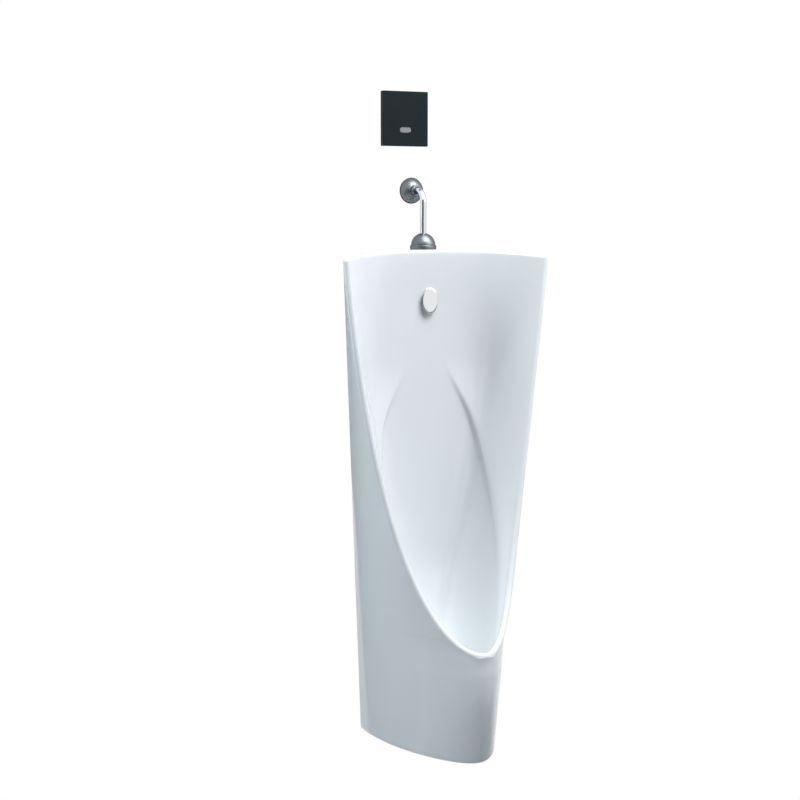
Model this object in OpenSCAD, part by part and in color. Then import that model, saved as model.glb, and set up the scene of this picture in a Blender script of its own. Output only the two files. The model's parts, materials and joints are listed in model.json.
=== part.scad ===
// Wall-hung urinal with an exposed flush pipe and a concealed sensor flush valve.
// Millimetres. The wall is the plane y = 0, the room is on its -Y side, +Z is up,
// and the origin is where the axis of the waste outlet meets the wall.

/* [Ceramic] */
// Height of the ceramic at the middle of its top
body_h = 938; // [880:2:980]
// Drop of the top from its middle to the wing tips
crown_h = 12; // [8:1:20]
// Further drop of the top from the wing tips to the wall
flank_drop = 5; // [0:1:8]
// Width between the two wing tips
wing_w = 420; // [400:2:450]
// Distance of the wing tips from the wall
wing_d = 157; // [145:1:170]
// Distance of the front face from the wall at the middle of the top
dish_d = 79; // [76:1:88]
// Least distance of the bowl's back from the wall
back_d = 57; // [54:1:62]
// Width of the ceramic against the wall at its top
wall_w_top = 290; // [280:2:310]
// Width of the ceramic against the wall at its foot
wall_w_foot = 220; // [210:2:240]
// Height of the lip above the foot
lip_h = 213; // [205:1:225]
// Distance of the lip from the wall
lip_d = 302; // [290:1:320]
// Distance of the nose from the wall at the foot
nose_d = 280; // [270:1:290]
// Height of the bowl's floor above the foot
floor_h = 150; // [146:1:154]
// Thickness of the ceramic
china_t = 11; // [9:0.5:12]
// Thickness of the rolled rim
rim_t = 12; // [10:0.5:14]
// Radius on the top edge
edge_r = 5; // [3:0.5:6]
// Radius on the foot's edge
foot_r = 8; // [5:0.5:9]
// Height of the soft step round the scoop
step_h = 9; // [4:0.5:12]

/* [Waste and trap] */
// Height of the waste outlet's axis above the foot
outlet_h = 72; // [71:0.5:74]
// Distance of the waste from the wall
waste_d = 165; // [160:1:172]
// Radius of the waste tail
tail_r = 19; // [18:0.25:20]
// Wall of the waste tail
tail_t = 2.5; // [2:0.25:3]
// Radius of the waste flange
flange_r = 31; // [29:0.5:33]
// Thickness of the waste flange
flange_t = 3; // [2.5:0.5:4]
// Thickness of the rubber washers
washer_t = 2; // [1.5:0.25:2.5]
// Radius of the trap's bottle
bottle_r = 36; // [34:0.5:38]
// Wall of the trap's plastic pieces
trap_t = 3; // [2.5:0.25:3.5]
// Radius of the outlet pipe
outlet_r = 20; // [18:0.5:21]
// Length of the outlet pipe inside the wall
outlet_in_wall = 60; // [40:5:90]
// Gap under the trap's cup
cup_gap = 5; // [3:0.5:8]

/* [Flush pipe] */
// Distance of the flush pipe from the wall
pipe_d = 50; // [48:0.5:52]
// Radius of the flush pipe
pipe_r = 6; // [5.5:0.25:6.5]
// Wall of the flush pipe
pipe_t = 1; // [0.8:0.1:1.5]
// Height of the pipe's wall outlet above the ceramic
pipe_rise = 111; // [100:1:125]
// Radius of the bend, along its middle
bend_r = 23; // [20:0.5:24]
// Radius of the dome on the ceramic
dome_r = 23; // [22.5:0.5:24]
// Radius of the dome on the wall
wall_dome_r = 25; // [24:0.5:27]
// How far the wall dome stands off the wall
wall_dome_d = 22; // [20:0.5:23]
// Thickness of the sheet of both domes
dome_t = 1.2; // [0.8:0.1:1.5]

/* [Spreader] */
// Height of the spreader above the foot
spreader_h = 842; // [836:1:850]
// Width of the oval spreader cap
cap_w = 33; // [30:1:36]
// Height of the oval spreader cap
cap_h = 49; // [44:1:52]
// How far the cap's face stands off the bowl
cap_gap = 9; // [8:0.5:12]
// Radius of the hole for the spreader
spreader_hole_r = 11; // [10.5:0.25:12]

/* [Sensor plate and valve] */
// Width of the sensor plate
plate_w = 96; // [95:1:104]
// Height of the sensor plate
plate_h = 103; // [102:1:110]
// How far the plate stands off the wall
plate_t = 10; // [9:0.5:12]
// Height of the plate's middle above the pipe's wall outlet
plate_rise = 135; // [134:1:150]
// Sideways offset of the plate's middle from the pipe
plate_x = -17; // [-18:0.5:-16]
// Width of the sensor window
window_w = 24; // [20:1:28]
// Height of the sensor window
window_h = 10; // [9:0.5:12]
// Depth of the box in the wall
box_d = 64; // [62:1:70]
// Wall of the box in the wall
box_t = 2.5; // [2:0.25:3]
// Radius of the valve's brass body
valve_r = 21; // [20.5:0.25:22]
// Radius of the piston's bore
piston_r = 15; // [14.5:0.1:15.2]
// Lift of the piston
piston_lift = 5; // [3:0.5:6]
// Lift of the solenoid's plunger
plunger_lift = 3; // [2:0.25:4]
// Pitch of the stop valve's thread
stop_pitch = 1.5; // [1:0.25:1.5]

/* [Fixings] */
// Sideways place of the hanging brackets
hanger_x = 82; // [78:1:88]
// Sideways place of the lower fixings
lower_x = 82; // [78:1:84]
// Height of the lower fixings above the foot
lower_h = 112; // [106:1:120]
// Radius of the wall screws
screw_r = 2.9; // [2.5:0.1:3]
// Depth of the wall plugs
plug_d = 48; // [40:1:60]

/* [Clearances] */
// Running clearance between a sliding piece and its bore
run = 0.05; // [0.02:0.01:0.08]
// Clearance round a piece that is fitted by hand
loose = 0.3; // [0.2:0.05:0.4]

/* [Hidden] */
$fn = 64;

china = [0.90, 0.93, 0.95];
chrome = [0.74, 0.76, 0.78];
brass = [0.80, 0.66, 0.36];
steel = [0.62, 0.63, 0.65];
rubber = [0.13, 0.13, 0.14];
plastic = [0.93, 0.93, 0.92];
black = [0.13, 0.16, 0.17];

foot_z = -outlet_h;
top_z = foot_z + body_h;
tip_z = top_z - crown_h - edge_r;
floor_z = foot_z + floor_h;
edge_z = foot_z + lip_h;

// Heights of the waste and the trap, from the floor of the bowl down
flange_top = floor_z;
seat_z = floor_z - flange_t - washer_t;
boss_z = seat_z - china_t;
lock_nut_h = 7.5;
tail_z = 36;
collar_h = 6;
collar_z = tail_z - washer_t - collar_h;
collar_r = tail_r + 3;
bottle_top = outlet_r + 3;
shoulder_z = -21;
cup_top = shoulder_z - trap_t - washer_t;
cup_z = foot_z + cup_gap;
branch_y = -waste_d + bottle_r + 22;
branch_r = outlet_r + 1;

// Heights of the flush pipe
pipe_z = top_z + pipe_rise;
pipe_foot = top_z - 8;
spud_r = 11.5;
spud_hole_r = 14;
spud_flange_r = 20;
nut_z = top_z + 9;
nut_h = 12;
dome_z = top_z + 8;
collar_y = -wall_dome_d;
pipe_end = 20;
elbow_y = 38;
elbow_r = 12;
riser_r = 8;
riser_z = pipe_z + 12;

// The valve stands on the elbow's axis, and heights on it are counted from the plate's middle
plate_z = pipe_z + plate_rise;
bonnet_z = plate_z + 12;
bonnet_t = 5;
seat_ring_z = plate_z - 10;
chamber_z = plate_z - 14;
port_z = plate_z - 28;
boss_low_z = plate_z - 54;
stop_x = 14;
stop_r = 5;
stop_travel = 8 * stop_pitch;
box_w = plate_w - 8;
box_h = plate_h - 9;
frame_t = 2.5;
gasket_t = 1.5;
face_t = 3;
window_z = plate_z - 21;

spreader_z = foot_z + spreader_h;
spreader_y = -71;
chamber_w = 50;
chamber_low = foot_z + 812;

// Webs and lugs at the back of the ceramic
rib_z = tip_z - 41;
web_h = 16;
web_y0 = 8;
web_y1 = 18;
lug_t = 12;
lug_hole_r = screw_r + 2.1;
washer_r = screw_r + 6.1;

// Blends
function mix(a, b, t) = a + (b - a) * t;
function smooth(a, b, x) = let (t = min(1, max(0, (x - a) / (b - a)))) t * t * (3 - 2 * t);
function unit(v) = v / norm(v);
function bezier(p, t) =
    pow(1 - t, 3) * p[0] + 3 * t * pow(1 - t, 2) * p[1] + 3 * t * t * (1 - t) * p[2]
    + pow(t, 3) * p[3];
function mirrored(p) = [-p[0], p[1], p[2]];

// The ceramic is drawn as rows: w runs from its top (0) to its lip (1), and every row
// goes from the middle of the bowl over the rim and back along the flank to the wall.
rows = 26;
skirt_rows = 7;
bowl_steps = 18;
roll_steps = 4;
flank_steps = 9;
wall_steps = bowl_steps - roll_steps - flank_steps;
back_steps = 14;

// The rim, on the right-hand side
function rim_u(w) = 1 - pow(w, 1.4);
function rim_t_of(u) = 1 - pow(1 - pow(u, 2.17), 0.855);
function rim_at(w) = let (u = rim_u(w)) [
    wing_w / 2 * u,
    rim_t / 2 - lip_d + (lip_d - rim_t / 2 - wing_d) * pow(sin(90 * u), 1.5),
    mix(edge_z, tip_z, rim_t_of(u))
];
function rim_along(w) = unit(rim_at(max(w - 0.01, 0)) - rim_at(min(w + 0.01, 1)));
// Angle of the flank at the rim: it flares at the top and closes round the nose at the lip
function rim_turn(w) = mix(-23, 90, pow(1 - sqrt(rim_t_of(rim_u(w))), 1.5));
function rim_tangent(w) = w > 0.999 ? [1, 0, 0] : rim_along(w);
function rim_in(w) = let (
    b = rim_turn(w),
    raw = [-cos(b), sin(b), 0.12],
    t = rim_tangent(w)
) unit(raw - (raw * t) * t);
function rim_out(w) = unit(cross(rim_tangent(w), rim_in(w)));
function roll_centre(w) = rim_at(w) - rim_t / 2 * rim_out(w);
function roll_at(w, a) =
    roll_centre(w) + rim_t / 2 * (cos(a) * rim_out(w) + sin(a) * rim_in(w));
// The inner walls meet behind the rim
function valley_at(w) =
    roll_centre(w) - 30 * rim_out(w) + (china_t - rim_t / 2) * rim_in(w);

// Middle line of the bowl, as [distance from the wall, height], from its top to the lip
function bowl_line() = let (rise = top_z - floor_z) [
    [dish_d, top_z - edge_r],
    [mix(back_d, dish_d, 0.66), floor_z + 0.877 * rise],
    [mix(back_d, dish_d, 0.38), floor_z + 0.740 * rise],
    [mix(back_d, dish_d, 0.16), floor_z + 0.600 * rise],
    [mix(back_d, dish_d, 0.04), floor_z + 0.460 * rise],
    [back_d, floor_z + 0.322 * rise],
    [back_d + 3, floor_z + 0.195 * rise],
    [mix(back_d, waste_d, 0.24), floor_z + 0.080 * rise],
    [waste_d - 27, floor_z + 1],
    [mix(waste_d, lip_d, 0.44), floor_z + 10],
    [lip_d - rim_t - 1, edge_z - rim_t / 2]
];
function spline(p, t) = let (
    n = len(p) - 1,
    i = min(floor(t * n), n - 1),
    f = t * n - i,
    a = i > 0 ? p[i - 1] : 2 * p[0] - p[1],
    b = p[i],
    c = p[i + 1],
    d = i < n - 1 ? p[i + 2] : 2 * p[n] - p[n - 1]
) 0.5 * (2 * b + (c - a) * f + (2 * a - 5 * b + 4 * c - d) * f * f
    + (3 * b - a - 3 * c + d) * f * f * f);
function line_at(w) = let (p = spline(bowl_line(), w)) [0, -p[0], p[1]];

// A row of the bowl, from the rim (q = 0) to the middle line (q = 1)
function bowl_dir(w) = let (
    k = 14 + 31 * pow(1 - w, 2.5),
    d = 75 * pow(w, 2.5)
) [-sin(k) * cos(d), cos(k) * cos(d), -sin(d)];
function bowl_base(w, q) = let (
    a = roll_at(w, 90),
    m = w > 0.999 ? a : line_at(w),
    s = norm(a - m),
    first = mix(0.34, 0.52, smooth(0, 0.35, w)) * s,
    last = mix(0.45, 0.80, smooth(0, 0.35, w)) * a[0],
    rise = 2 / 3 * (m[2] - a[2]) * (1 - smooth(0, 0.3, w))
) bezier([a, a + first * bowl_dir(w) + [0, 0, rise], m + [last, 0, 0], m], q);
function bowl_normal(w, q) = let (
    w0 = max(w - 0.005, 0),
    w1 = min(w + 0.005, 0.995),
    q0 = max(q - 0.01, 0),
    q1 = min(q + 0.01, 1),
    v = cross(
        bowl_base(w, q1) - bowl_base(w, q0),
        bowl_base(w1, q) - bowl_base(w0, q)
    )
) norm(v) < 0.0001 ? [0, -1, 0] : unit(v);
// The scoop: an arch that starts high in the bowl, with a soft raised shoulder round it
apex_w = 0.21;
function arch_q(w) = 0.075 + 0.8 * exp(-pow(max(w - apex_w, 0) / 0.2, 1.5));
function shoulder(w, q) = let (
    c = arch_q(w),
    s = norm(roll_at(w, 90) - line_at(min(w, 0.999))),
    band = min(mix(2.5, 9, smooth(0.2, 0.42, w)) / s, 0.45 * c),
    height = step_h * (1 - exp(-0.25 * c * s / step_h)),
    fade = smooth(0.2, 0.36, w) * (1 - smooth(0.55, 0.95, w))
) height * fade * smooth(0, c - band, q) * (1 - smooth(c - band, c + band, q));
function bowl_at(w, q) = bowl_base(w, q) + shoulder(w, q) * bowl_normal(w, q);
// The back of the bowl lies one thickness behind it and ends in the valley
first_back = 0.12;
function back_at(w, q) = w > 0.999 || q <= 0 ? valley_at(w) : let (
    s = first_back + (1 - first_back) * q
) bowl_base(w, s) - china_t * bowl_normal(w, s);

// Rows of the outer skin: level sections from the wall to the rim, or to the nose
function wall_half(z, inset) =
    mix(wall_w_foot, wall_w_top, (z - foot_z) / body_h) / 2 - inset;
// Webs and lugs reach a little way into the wall of the ceramic
web_out = wall_half(rib_z, china_t - 2.5);
lug_out = wall_half(foot_z + lower_h, china_t - 4);
function nose_at(z, inset) =
    nose_d + (lip_d - nose_d) * pow(max(z - foot_z, 0) / (lip_h - rim_t / 2), 1.2) - inset;
function skin_row(z, finish, turn, handle, inset) = let (
    a = [wall_half(z, inset), 0, z],
    g = mix(8, 22, (z - foot_z) / body_h),
    s = norm(finish - a),
    b = a + 0.38 * s * [sin(g), -cos(g), 0],
    c = finish + min(handle, 0.4 * s) * [sin(turn), cos(turn), 0]
) [a, b, c, finish];
function nose_handle(z) = mix(50, 71, pow(min(max(z - foot_z, 0) / lip_h, 1), 0.9));
function nose_row(z, inset) =
    skin_row(z, [0, -nose_at(z, inset), z], 90, nose_handle(z) - inset / 2, inset);
function skirt_at(z, q, inset) = bezier(nose_row(z, inset), q);
// Where a row comes down to the half-width x, and the part of the row up to there
function cut_at(p, x, lo, hi, n) = let (m = (lo + hi) / 2)
    n == 0 ? m : bezier(p, m)[0] > x ? cut_at(p, x, m, hi, n - 1) : cut_at(p, x, lo, m, n - 1);
// Near the lip the flank is the cut row of the nose, drawn out to the rim; higher up it
// is a row of its own
function side_at(w, q, finish, handle, inset) = let (
    z = finish[2],
    own = bezier(skin_row(z, finish, rim_turn(w), handle, inset), q),
    nose = nose_row(z, inset),
    cut = cut_at(nose, finish[0], 0.3, 1, 14),
    gap = finish - bezier(nose, cut),
    low = bezier(nose, cut * q) + gap * q * q * q
) mix(low, own, smooth(0.01, 0.18, rim_t_of(rim_u(w))));
function handle_at(w, s) = s * (0.2 + 0.16 * smooth(0.1, 0.4, rim_t_of(rim_u(w))));
function flank_at(w, q) = let (
    e = roll_at(w, -90),
    s = norm(e - [wall_half(e[2], 0), 0, e[2]])
) side_at(w, q, e, handle_at(w, s), 0)
    - [0, 0, flank_drop * (1 - q) * (1 - smooth(0, 0.15, w))];
function inner_flank_at(w, q) = let (
    e = valley_at(w),
    s = norm(e - [wall_half(e[2], china_t), 0, e[2]])
) side_at(w, q, e, handle_at(w, s), china_t);

// Points along a row of the bowl are drawn closer together round the crease
function drawn(w, q) = let (c = arch_q(w), pull = 0.55 * smooth(apex_w, apex_w + 0.1, w))
    q + pull * smooth(0, 0.3, c) * exp(-pow((q - c) / 0.09, 2)) * (c - q);

// Half rows, from the middle line out to the wall
function outer_half(w) = concat(
    [for (i = [0:bowl_steps]) bowl_at(w, drawn(w, 1 - i / bowl_steps))],
    [for (i = [1:roll_steps - 1]) roll_at(w, 90 - 180 * i / roll_steps)],
    [for (i = [0:flank_steps]) flank_at(w, 1 - i / flank_steps)]
);
function inner_half(w) = concat(
    [for (i = [0:back_steps]) back_at(w, 1 - i / back_steps)],
    [for (i = [1:flank_steps]) inner_flank_at(w, 1 - i / flank_steps)]
);
function whole(half) = concat(
    [for (i = [len(half) - 1:-1:1]) mirrored(half[i])],
    half
);

// The top edge, rounded over: each step moves the top row in and up
function edge_normal(row, i) = let (
    n = len(row) - 1,
    a = row[max(i - 1, 0)],
    b = row[min(i + 1, n)],
    d = b - a,
    v = [-d[1], d[0], 0]
) i == 0 ? [1, 0, 0] : i == n ? [-1, 0, 0] : norm(v) < 0.001 ? [0, 1, 0] : unit(v);
function edge_row(row, a) = [
    for (i = [0:len(row) - 1])
        row[i] + edge_r * (1 - cos(a)) * edge_normal(row, i) + [0, 0, edge_r * sin(a)]
];
// The line of the top against the wall, from its middle to its corner
function top_line(corner, middle_z, i) = let (f = i / wall_steps)
    [corner[0] * f, 0, mix(middle_z, corner[2], pow(f, 3))];
// The ring of the top: wall line, flank and rim outwards, which faces the front edge
function top_far(row, half_n, middle_z) = concat(
    [for (i = [0:wall_steps - 1]) top_line(row[2 * half_n - 2], middle_z, i)],
    [for (i = [2 * half_n - 2:-1:half_n + bowl_steps - 1]) row[i]]
);
function inner_far(row, half_n, middle_z) = concat(
    [for (i = [0:wall_steps - 1]) top_line(row[2 * half_n - 2], middle_z, i)],
    [for (i = [2 * half_n - 2:-1:half_n + back_steps - 1]) row[i]]
);

// Faces between two rows of n points that start at a and at b
function strip(a, b, n) = [for (i = [0:n - 2]) each [
    [a + i, a + i + 1, b + i + 1],
    [a + i, b + i + 1, b + i]
]];
function has_area(a, b, c) = norm(a - b) > 0.0001 && norm(b - c) > 0.0001 && norm(c - a) > 0.0001;
function flipped(faces) = [for (f = faces) [f[2], f[1], f[0]]];
function grid(start, count, n) =
    [for (k = [0:count - 2]) each strip(start + k * n, start + (k + 1) * n, n)];

module ceramic_shell() {
    // outer rows
    n_half = bowl_steps + roll_steps + flank_steps + 1;
    n_row = 2 * n_half - 1;
    main_rows = [for (k = [0:rows]) whole(outer_half(k / rows))];
    edge_rows = [for (a = [90:-30:30]) edge_row(main_rows[0], a)];
    outer = concat(edge_rows, main_rows);
    // inner rows
    m_half = back_steps + flank_steps + 1;
    m_row = 2 * m_half - 1;
    inner_main = [for (k = [1:rows]) whole(inner_half(k / rows))];
    inner_top = [for (p = inner_main[0]) [p[0], p[1], tip_z - china_t
        + (top_z - tip_z) * max(0, 1 - abs(p[0]) / (wing_w / 2))]];
    inner = concat([inner_top], inner_main);
    // skirt rows
    k_row = 2 * flank_steps + 1;
    lip_out = roll_at(1, -90)[2];
    low_z = foot_z + foot_r;
    outer_skirt = concat(
        [for (k = [1:skirt_rows - 1]) let (z = mix(lip_out, low_z, k / (skirt_rows - 1)))
            whole([for (i = [0:flank_steps]) skirt_at(z, 1 - i / flank_steps, 0)])],
        [for (a = [30, 60, 90])
            whole([for (i = [0:flank_steps]) skirt_at(low_z - foot_r * sin(a),
                1 - i / flank_steps, foot_r * (1 - cos(a)))])]
    );
    inner_low = valley_at(1)[2];
    n_out = len(outer);
    n_in = len(inner);
    n_skirt = len(outer_skirt);
    inner_skirt = [for (k = [1:n_skirt]) let (z = mix(inner_low, foot_z, k / n_skirt))
        whole([for (i = [0:flank_steps]) skirt_at(z, 1 - i / flank_steps, china_t)])];
    // points, in blocks
    o0 = 0;
    s0 = n_out * n_row;
    i0 = s0 + n_skirt * k_row;
    t0 = i0 + n_in * m_row;
    far_o = top_far(outer[0], n_half, top_z);
    far_i = inner_far(inner[0], m_half, top_z - china_t);
    f0 = t0 + n_skirt * k_row;
    n_far = len(far_o);
    g0 = f0 + 2 * n_far;
    m_far = len(far_i);
    points = concat(
        [for (r = outer) each r],
        [for (r = outer_skirt) each r],
        [for (r = inner) each r],
        [for (r = inner_skirt) each r],
        far_o,
        [for (p = far_o) mirrored(p)],
        far_i,
        [for (p = far_i) mirrored(p)]
    );
    last = o0 + (n_out - 1) * n_row;
    last_in = i0 + (n_in - 1) * m_row;
    // outer skin and bowl
    skin = concat(
        grid(o0, n_out, n_row),
        [for (i = [0:flank_steps - 1]) each [
            [last + i, last + i + 1, s0 + i + 1],
            [last + i, s0 + i + 1, s0 + i]
        ]],
        [for (i = [0:flank_steps - 1]) let (a = last + n_row - 1 - flank_steps + i,
            b = s0 + flank_steps + i) each [
            [a, a + 1, b + 1],
            [a, b + 1, b]
        ]],
        grid(s0, n_skirt, k_row)
    );
    // top shelf, each half between its far line and the front edge
    mid = o0 + n_half - 1;
    shelf = concat(
        [for (i = [0:n_far - 2]) each [
            [f0 + i, f0 + i + 1, mid + i + 1],
            [f0 + i, mid + i + 1, mid + i]
        ]],
        [for (i = [0:n_far - 2]) each [
            [f0 + n_far + i, mid - i - 1, f0 + n_far + i + 1],
            [f0 + n_far + i, mid - i, mid - i - 1]
        ]]
    );
    back = concat(
        grid(i0, n_in, m_row),
        [for (i = [0:flank_steps - 1]) each [
            [last_in + i, last_in + i + 1, t0 + i + 1],
            [last_in + i, t0 + i + 1, t0 + i]
        ]],
        [for (i = [0:flank_steps - 1]) let (a = last_in + m_row - 1 - flank_steps + i,
            b = t0 + flank_steps + i) each [
            [a, a + 1, b + 1],
            [a, b + 1, b]
        ]],
        grid(t0, n_skirt, k_row)
    );
    mid_in = i0 + m_half - 1;
    under = concat(
        [for (i = [0:m_far - 2]) each [
            [g0 + i, g0 + i + 1, mid_in + i + 1],
            [g0 + i, mid_in + i + 1, mid_in + i]
        ]],
        [for (i = [0:m_far - 2]) each [
            [g0 + m_far + i, mid_in - i - 1, g0 + m_far + i + 1],
            [g0 + m_far + i, mid_in - i, mid_in - i - 1]
        ]]
    );
    // edges against the wall, at the foot and along the top
    lefts_out = concat([for (k = [0:n_out - 1]) o0 + k * n_row],
        [for (k = [0:n_skirt - 1]) s0 + k * k_row]);
    rights_out = concat([for (k = [0:n_out - 1]) o0 + k * n_row + n_row - 1],
        [for (k = [0:n_skirt - 1]) s0 + k * k_row + k_row - 1]);
    lefts_in = concat([for (k = [0:n_in - 1]) i0 + k * m_row],
        [for (k = [0:n_skirt - 1]) t0 + k * k_row]);
    rights_in = concat([for (k = [0:n_in - 1]) i0 + k * m_row + m_row - 1],
        [for (k = [0:n_skirt - 1]) t0 + k * k_row + k_row - 1]);
    extra = n_out - n_in;
    rim_left = concat(
        [for (k = [0:extra - 1]) [lefts_out[k], lefts_out[k + 1], lefts_in[0]]],
        [for (k = [0:len(lefts_in) - 2]) each [
            [lefts_out[k + extra], lefts_out[k + extra + 1], lefts_in[k + 1]],
            [lefts_out[k + extra], lefts_in[k + 1], lefts_in[k]]
        ]]
    );
    rim_right = concat(
        [for (k = [0:extra - 1]) [rights_out[k + 1], rights_out[k], rights_in[0]]],
        [for (k = [0:len(rights_in) - 2]) each [
            [rights_out[k + extra + 1], rights_out[k + extra], rights_in[k + 1]],
            [rights_in[k + 1], rights_out[k + extra], rights_in[k]]
        ]]
    );
    foot_o = s0 + (n_skirt - 1) * k_row;
    foot_i = t0 + (n_skirt - 1) * k_row;
    foot = strip(foot_o, foot_i, k_row);
    top_back = concat(
        [for (i = [0:wall_steps - 1]) each [
            [f0 + i, g0 + i, g0 + i + 1],
            [f0 + i, g0 + i + 1, f0 + i + 1]
        ]],
        [for (i = [0:wall_steps - 1]) each [
            [f0 + n_far + i, g0 + m_far + i + 1, g0 + m_far + i],
            [f0 + n_far + i, f0 + n_far + i + 1, g0 + m_far + i + 1]
        ]]
    );
    all_faces = concat(skin, shelf, flipped(back), flipped(under), rim_left, rim_right,
        foot, top_back);
    // rows that end in one point leave faces without area, which are dropped
    polyhedron(
        points = points,
        faces = [for (f = all_faces) if (has_area(points[f[0]], points[f[1]], points[f[2]])) f],
        convexity = 8
    );
}

// Helpers for the round pieces
module pipe_z_at(x, y, z0, z1, r, bore) {
    translate([x, y, z0]) difference() {
        cylinder(r = r, h = z1 - z0);
        translate([0, 0, -1]) cylinder(r = bore, h = z1 - z0 + 2);
    }
}
// A cylinder along y from y0 to y1
module along_y(x, z, y0, y1, r) {
    translate([x, y0, z]) rotate([-90, 0, 0]) cylinder(r = r, h = y1 - y0);
}
module ring_y(x, z, y0, y1, r, bore) {
    difference() {
        along_y(x, z, y0, y1, r);
        along_y(x, z, y0 - 1, y1 + 1, bore);
    }
}
module along_x(y, z, x0, x1, r) {
    translate([x0, y, z]) rotate([0, 90, 0]) cylinder(r = r, h = x1 - x0);
}
module hex_z(x, y, z0, z1, r) {
    translate([x, y, z0]) rotate([0, 0, 30]) cylinder(r = r / cos(30), h = z1 - z0, $fn = 6);
}
module hex_y(x, z, y0, y1, r) {
    translate([x, y0, z]) rotate([-90, 0, 0]) cylinder(r = r / cos(30), h = y1 - y0, $fn = 6);
}
// A plate with round corners, standing against the wall
module slab(x, z, w, h, y0, y1, r) {
    translate([x, y1, z]) rotate([90, 0, 0]) linear_extrude(height = y1 - y0) union() {
        square([w - 2 * r, h], center = true);
        square([w, h - 2 * r], center = true);
        for (i = [-1, 1]) for (j = [-1, 1])
            translate([i * (w / 2 - r), j * (h / 2 - r)]) circle(r = r);
    }
}
module pill(x, z, w, h, y0, y1) {
    translate([x, y1, z]) rotate([90, 0, 0]) linear_extrude(height = y1 - y0) union() {
        square([w - h, h], center = true);
        for (i = [-1, 1]) translate([i * (w - h) / 2, 0]) circle(r = h / 2);
    }
}

// Ceramic
module urinal_body() color(china) difference() {
    union() {
        ceramic_shell();
        // boss under the floor for the waste
        translate([0, -waste_d, boss_z]) cylinder(r = flange_r + 7, h = floor_z - boss_z);
        // water chamber behind the spreader
        translate([-chamber_w / 2 - 8, -dish_d + 13, chamber_low - 10])
            cube([chamber_w + 16, dish_d - 25, top_z - 5 - chamber_low + 10]);
        // webs that hang on the brackets, and lugs for the lower screws
        for (i = [-1, 1]) {
            translate([i < 0 ? -web_out : chamber_w / 2 + 4, -web_y1, rib_z - web_h])
                cube([web_out - chamber_w / 2 - 4, web_y1 - web_y0, web_h]);
            translate([i < 0 ? -lug_out : lower_x - 12, -lug_t, foot_z + lower_h - 12])
                cube([lug_out - lower_x + 12, lug_t, 24]);
        }
    }
    translate([0, -waste_d, seat_z]) cylinder(r = flange_r + 2, h = 60);
    translate([0, -waste_d, boss_z - 20]) cylinder(r = tail_r + 3, h = 60);
    translate([-chamber_w / 2, spreader_y + 7, chamber_low])
        cube([chamber_w, -20 - spreader_y - 7, top_z - china_t - chamber_low]);
    along_y(0, spreader_z, spreader_y - 30, spreader_y + 8, spreader_hole_r);
    along_y(0, spreader_z, spreader_y - 30, spreader_y, spreader_hole_r + 4);
    translate([0, -pipe_d, top_z - 2 * china_t]) cylinder(r = spud_hole_r, h = 2 * china_t + 5);
    for (i = [-1, 1]) along_y(i * lower_x, foot_z + lower_h, -lug_t - 1, 1, lug_hole_r);
}

// Fixings
bracket_w = 40;
bracket_t = 3;
bracket_h = 48;
screw_gap = 18;
function screw_heights() = [for (i = [1, 2]) rib_z - web_h - i * screw_gap];
module hanger_brackets() color(steel) for (i = [-1, 1]) difference() {
    union() {
        translate([i * hanger_x - bracket_w / 2, -bracket_t, rib_z - web_h - bracket_h])
            cube([bracket_w, bracket_t, bracket_h]);
        translate([i * hanger_x - bracket_w / 2, -web_y1 - 4, rib_z - web_h - bracket_t])
            cube([bracket_w, web_y1 + 4, bracket_t]);
        translate([i * hanger_x - bracket_w / 2, -web_y1 - 4, rib_z - web_h - bracket_t])
            cube([bracket_w, bracket_t, 12]);
    }
    for (z = screw_heights()) along_y(i * hanger_x, z, -bracket_t - 1, 1, screw_r);
}
module wall_screw(x, z, y) {
    along_y(x, z, y, plug_d - 6, screw_r);
    difference() {
        along_y(x, z, y - 3.2, y, 2 * screw_r);
        translate([x - 0.6, y - 4, z - 3.5]) cube([1.2, 2, 7]);
        translate([x - 3.5, y - 4, z - 0.6]) cube([7, 2, 1.2]);
    }
}
module hanger_screws() color(steel)
    for (i = [-1, 1]) for (z = screw_heights()) wall_screw(i * hanger_x, z, -bracket_t);
module lower_screws() color(steel)
    for (i = [-1, 1]) wall_screw(i * lower_x, foot_z + lower_h, -lug_t - 1.5);
module lower_washers() color(plastic)
    for (i = [-1, 1]) ring_y(i * lower_x, foot_z + lower_h, -lug_t - 1.5, -lug_t, washer_r, screw_r);
module wall_plugs() color(plastic) for (i = [-1, 1]) {
    for (z = screw_heights()) difference() {
        along_y(i * hanger_x, z, 0, plug_d, screw_r + 1.6);
        along_y(i * hanger_x, z, -1, plug_d - 6, screw_r);
    }
    difference() {
        along_y(i * lower_x, foot_z + lower_h, 0, plug_d, screw_r + 1.6);
        along_y(i * lower_x, foot_z + lower_h, -1, plug_d - 6, screw_r);
    }
}

// Waste
module strainer() color(steel) translate([0, -waste_d, 0]) difference() {
    union() {
        translate([0, 0, flange_top]) cylinder(r = flange_r - 4, h = 2);
        translate([0, 0, flange_top + 2]) cylinder(r1 = flange_r - 4, r2 = flange_r - 8, h = 2);
        translate([0, 0, flange_top - 8]) cylinder(r = tail_r - tail_t - 2 * run, h = 8);
    }
    translate([0, 0, flange_top - 9]) cylinder(r = tail_r - tail_t - 2, h = 11);
    for (a = [0:60:300]) rotate([0, 0, a]) translate([8.6, 0, flange_top - 9])
        cylinder(r = 2.6, h = 20);
    translate([0, 0, flange_top - 9]) cylinder(r = 2.6, h = 20);
}
module waste_fitting() color(brass) translate([0, -waste_d, 0]) difference() {
    union() {
        translate([0, 0, flange_top - flange_t]) cylinder(r = flange_r, h = flange_t);
        translate([0, 0, tail_z]) cylinder(r = tail_r, h = flange_top - tail_z - 1);
    }
    translate([0, 0, tail_z - 1]) cylinder(r = tail_r - tail_t, h = 80);
}
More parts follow.
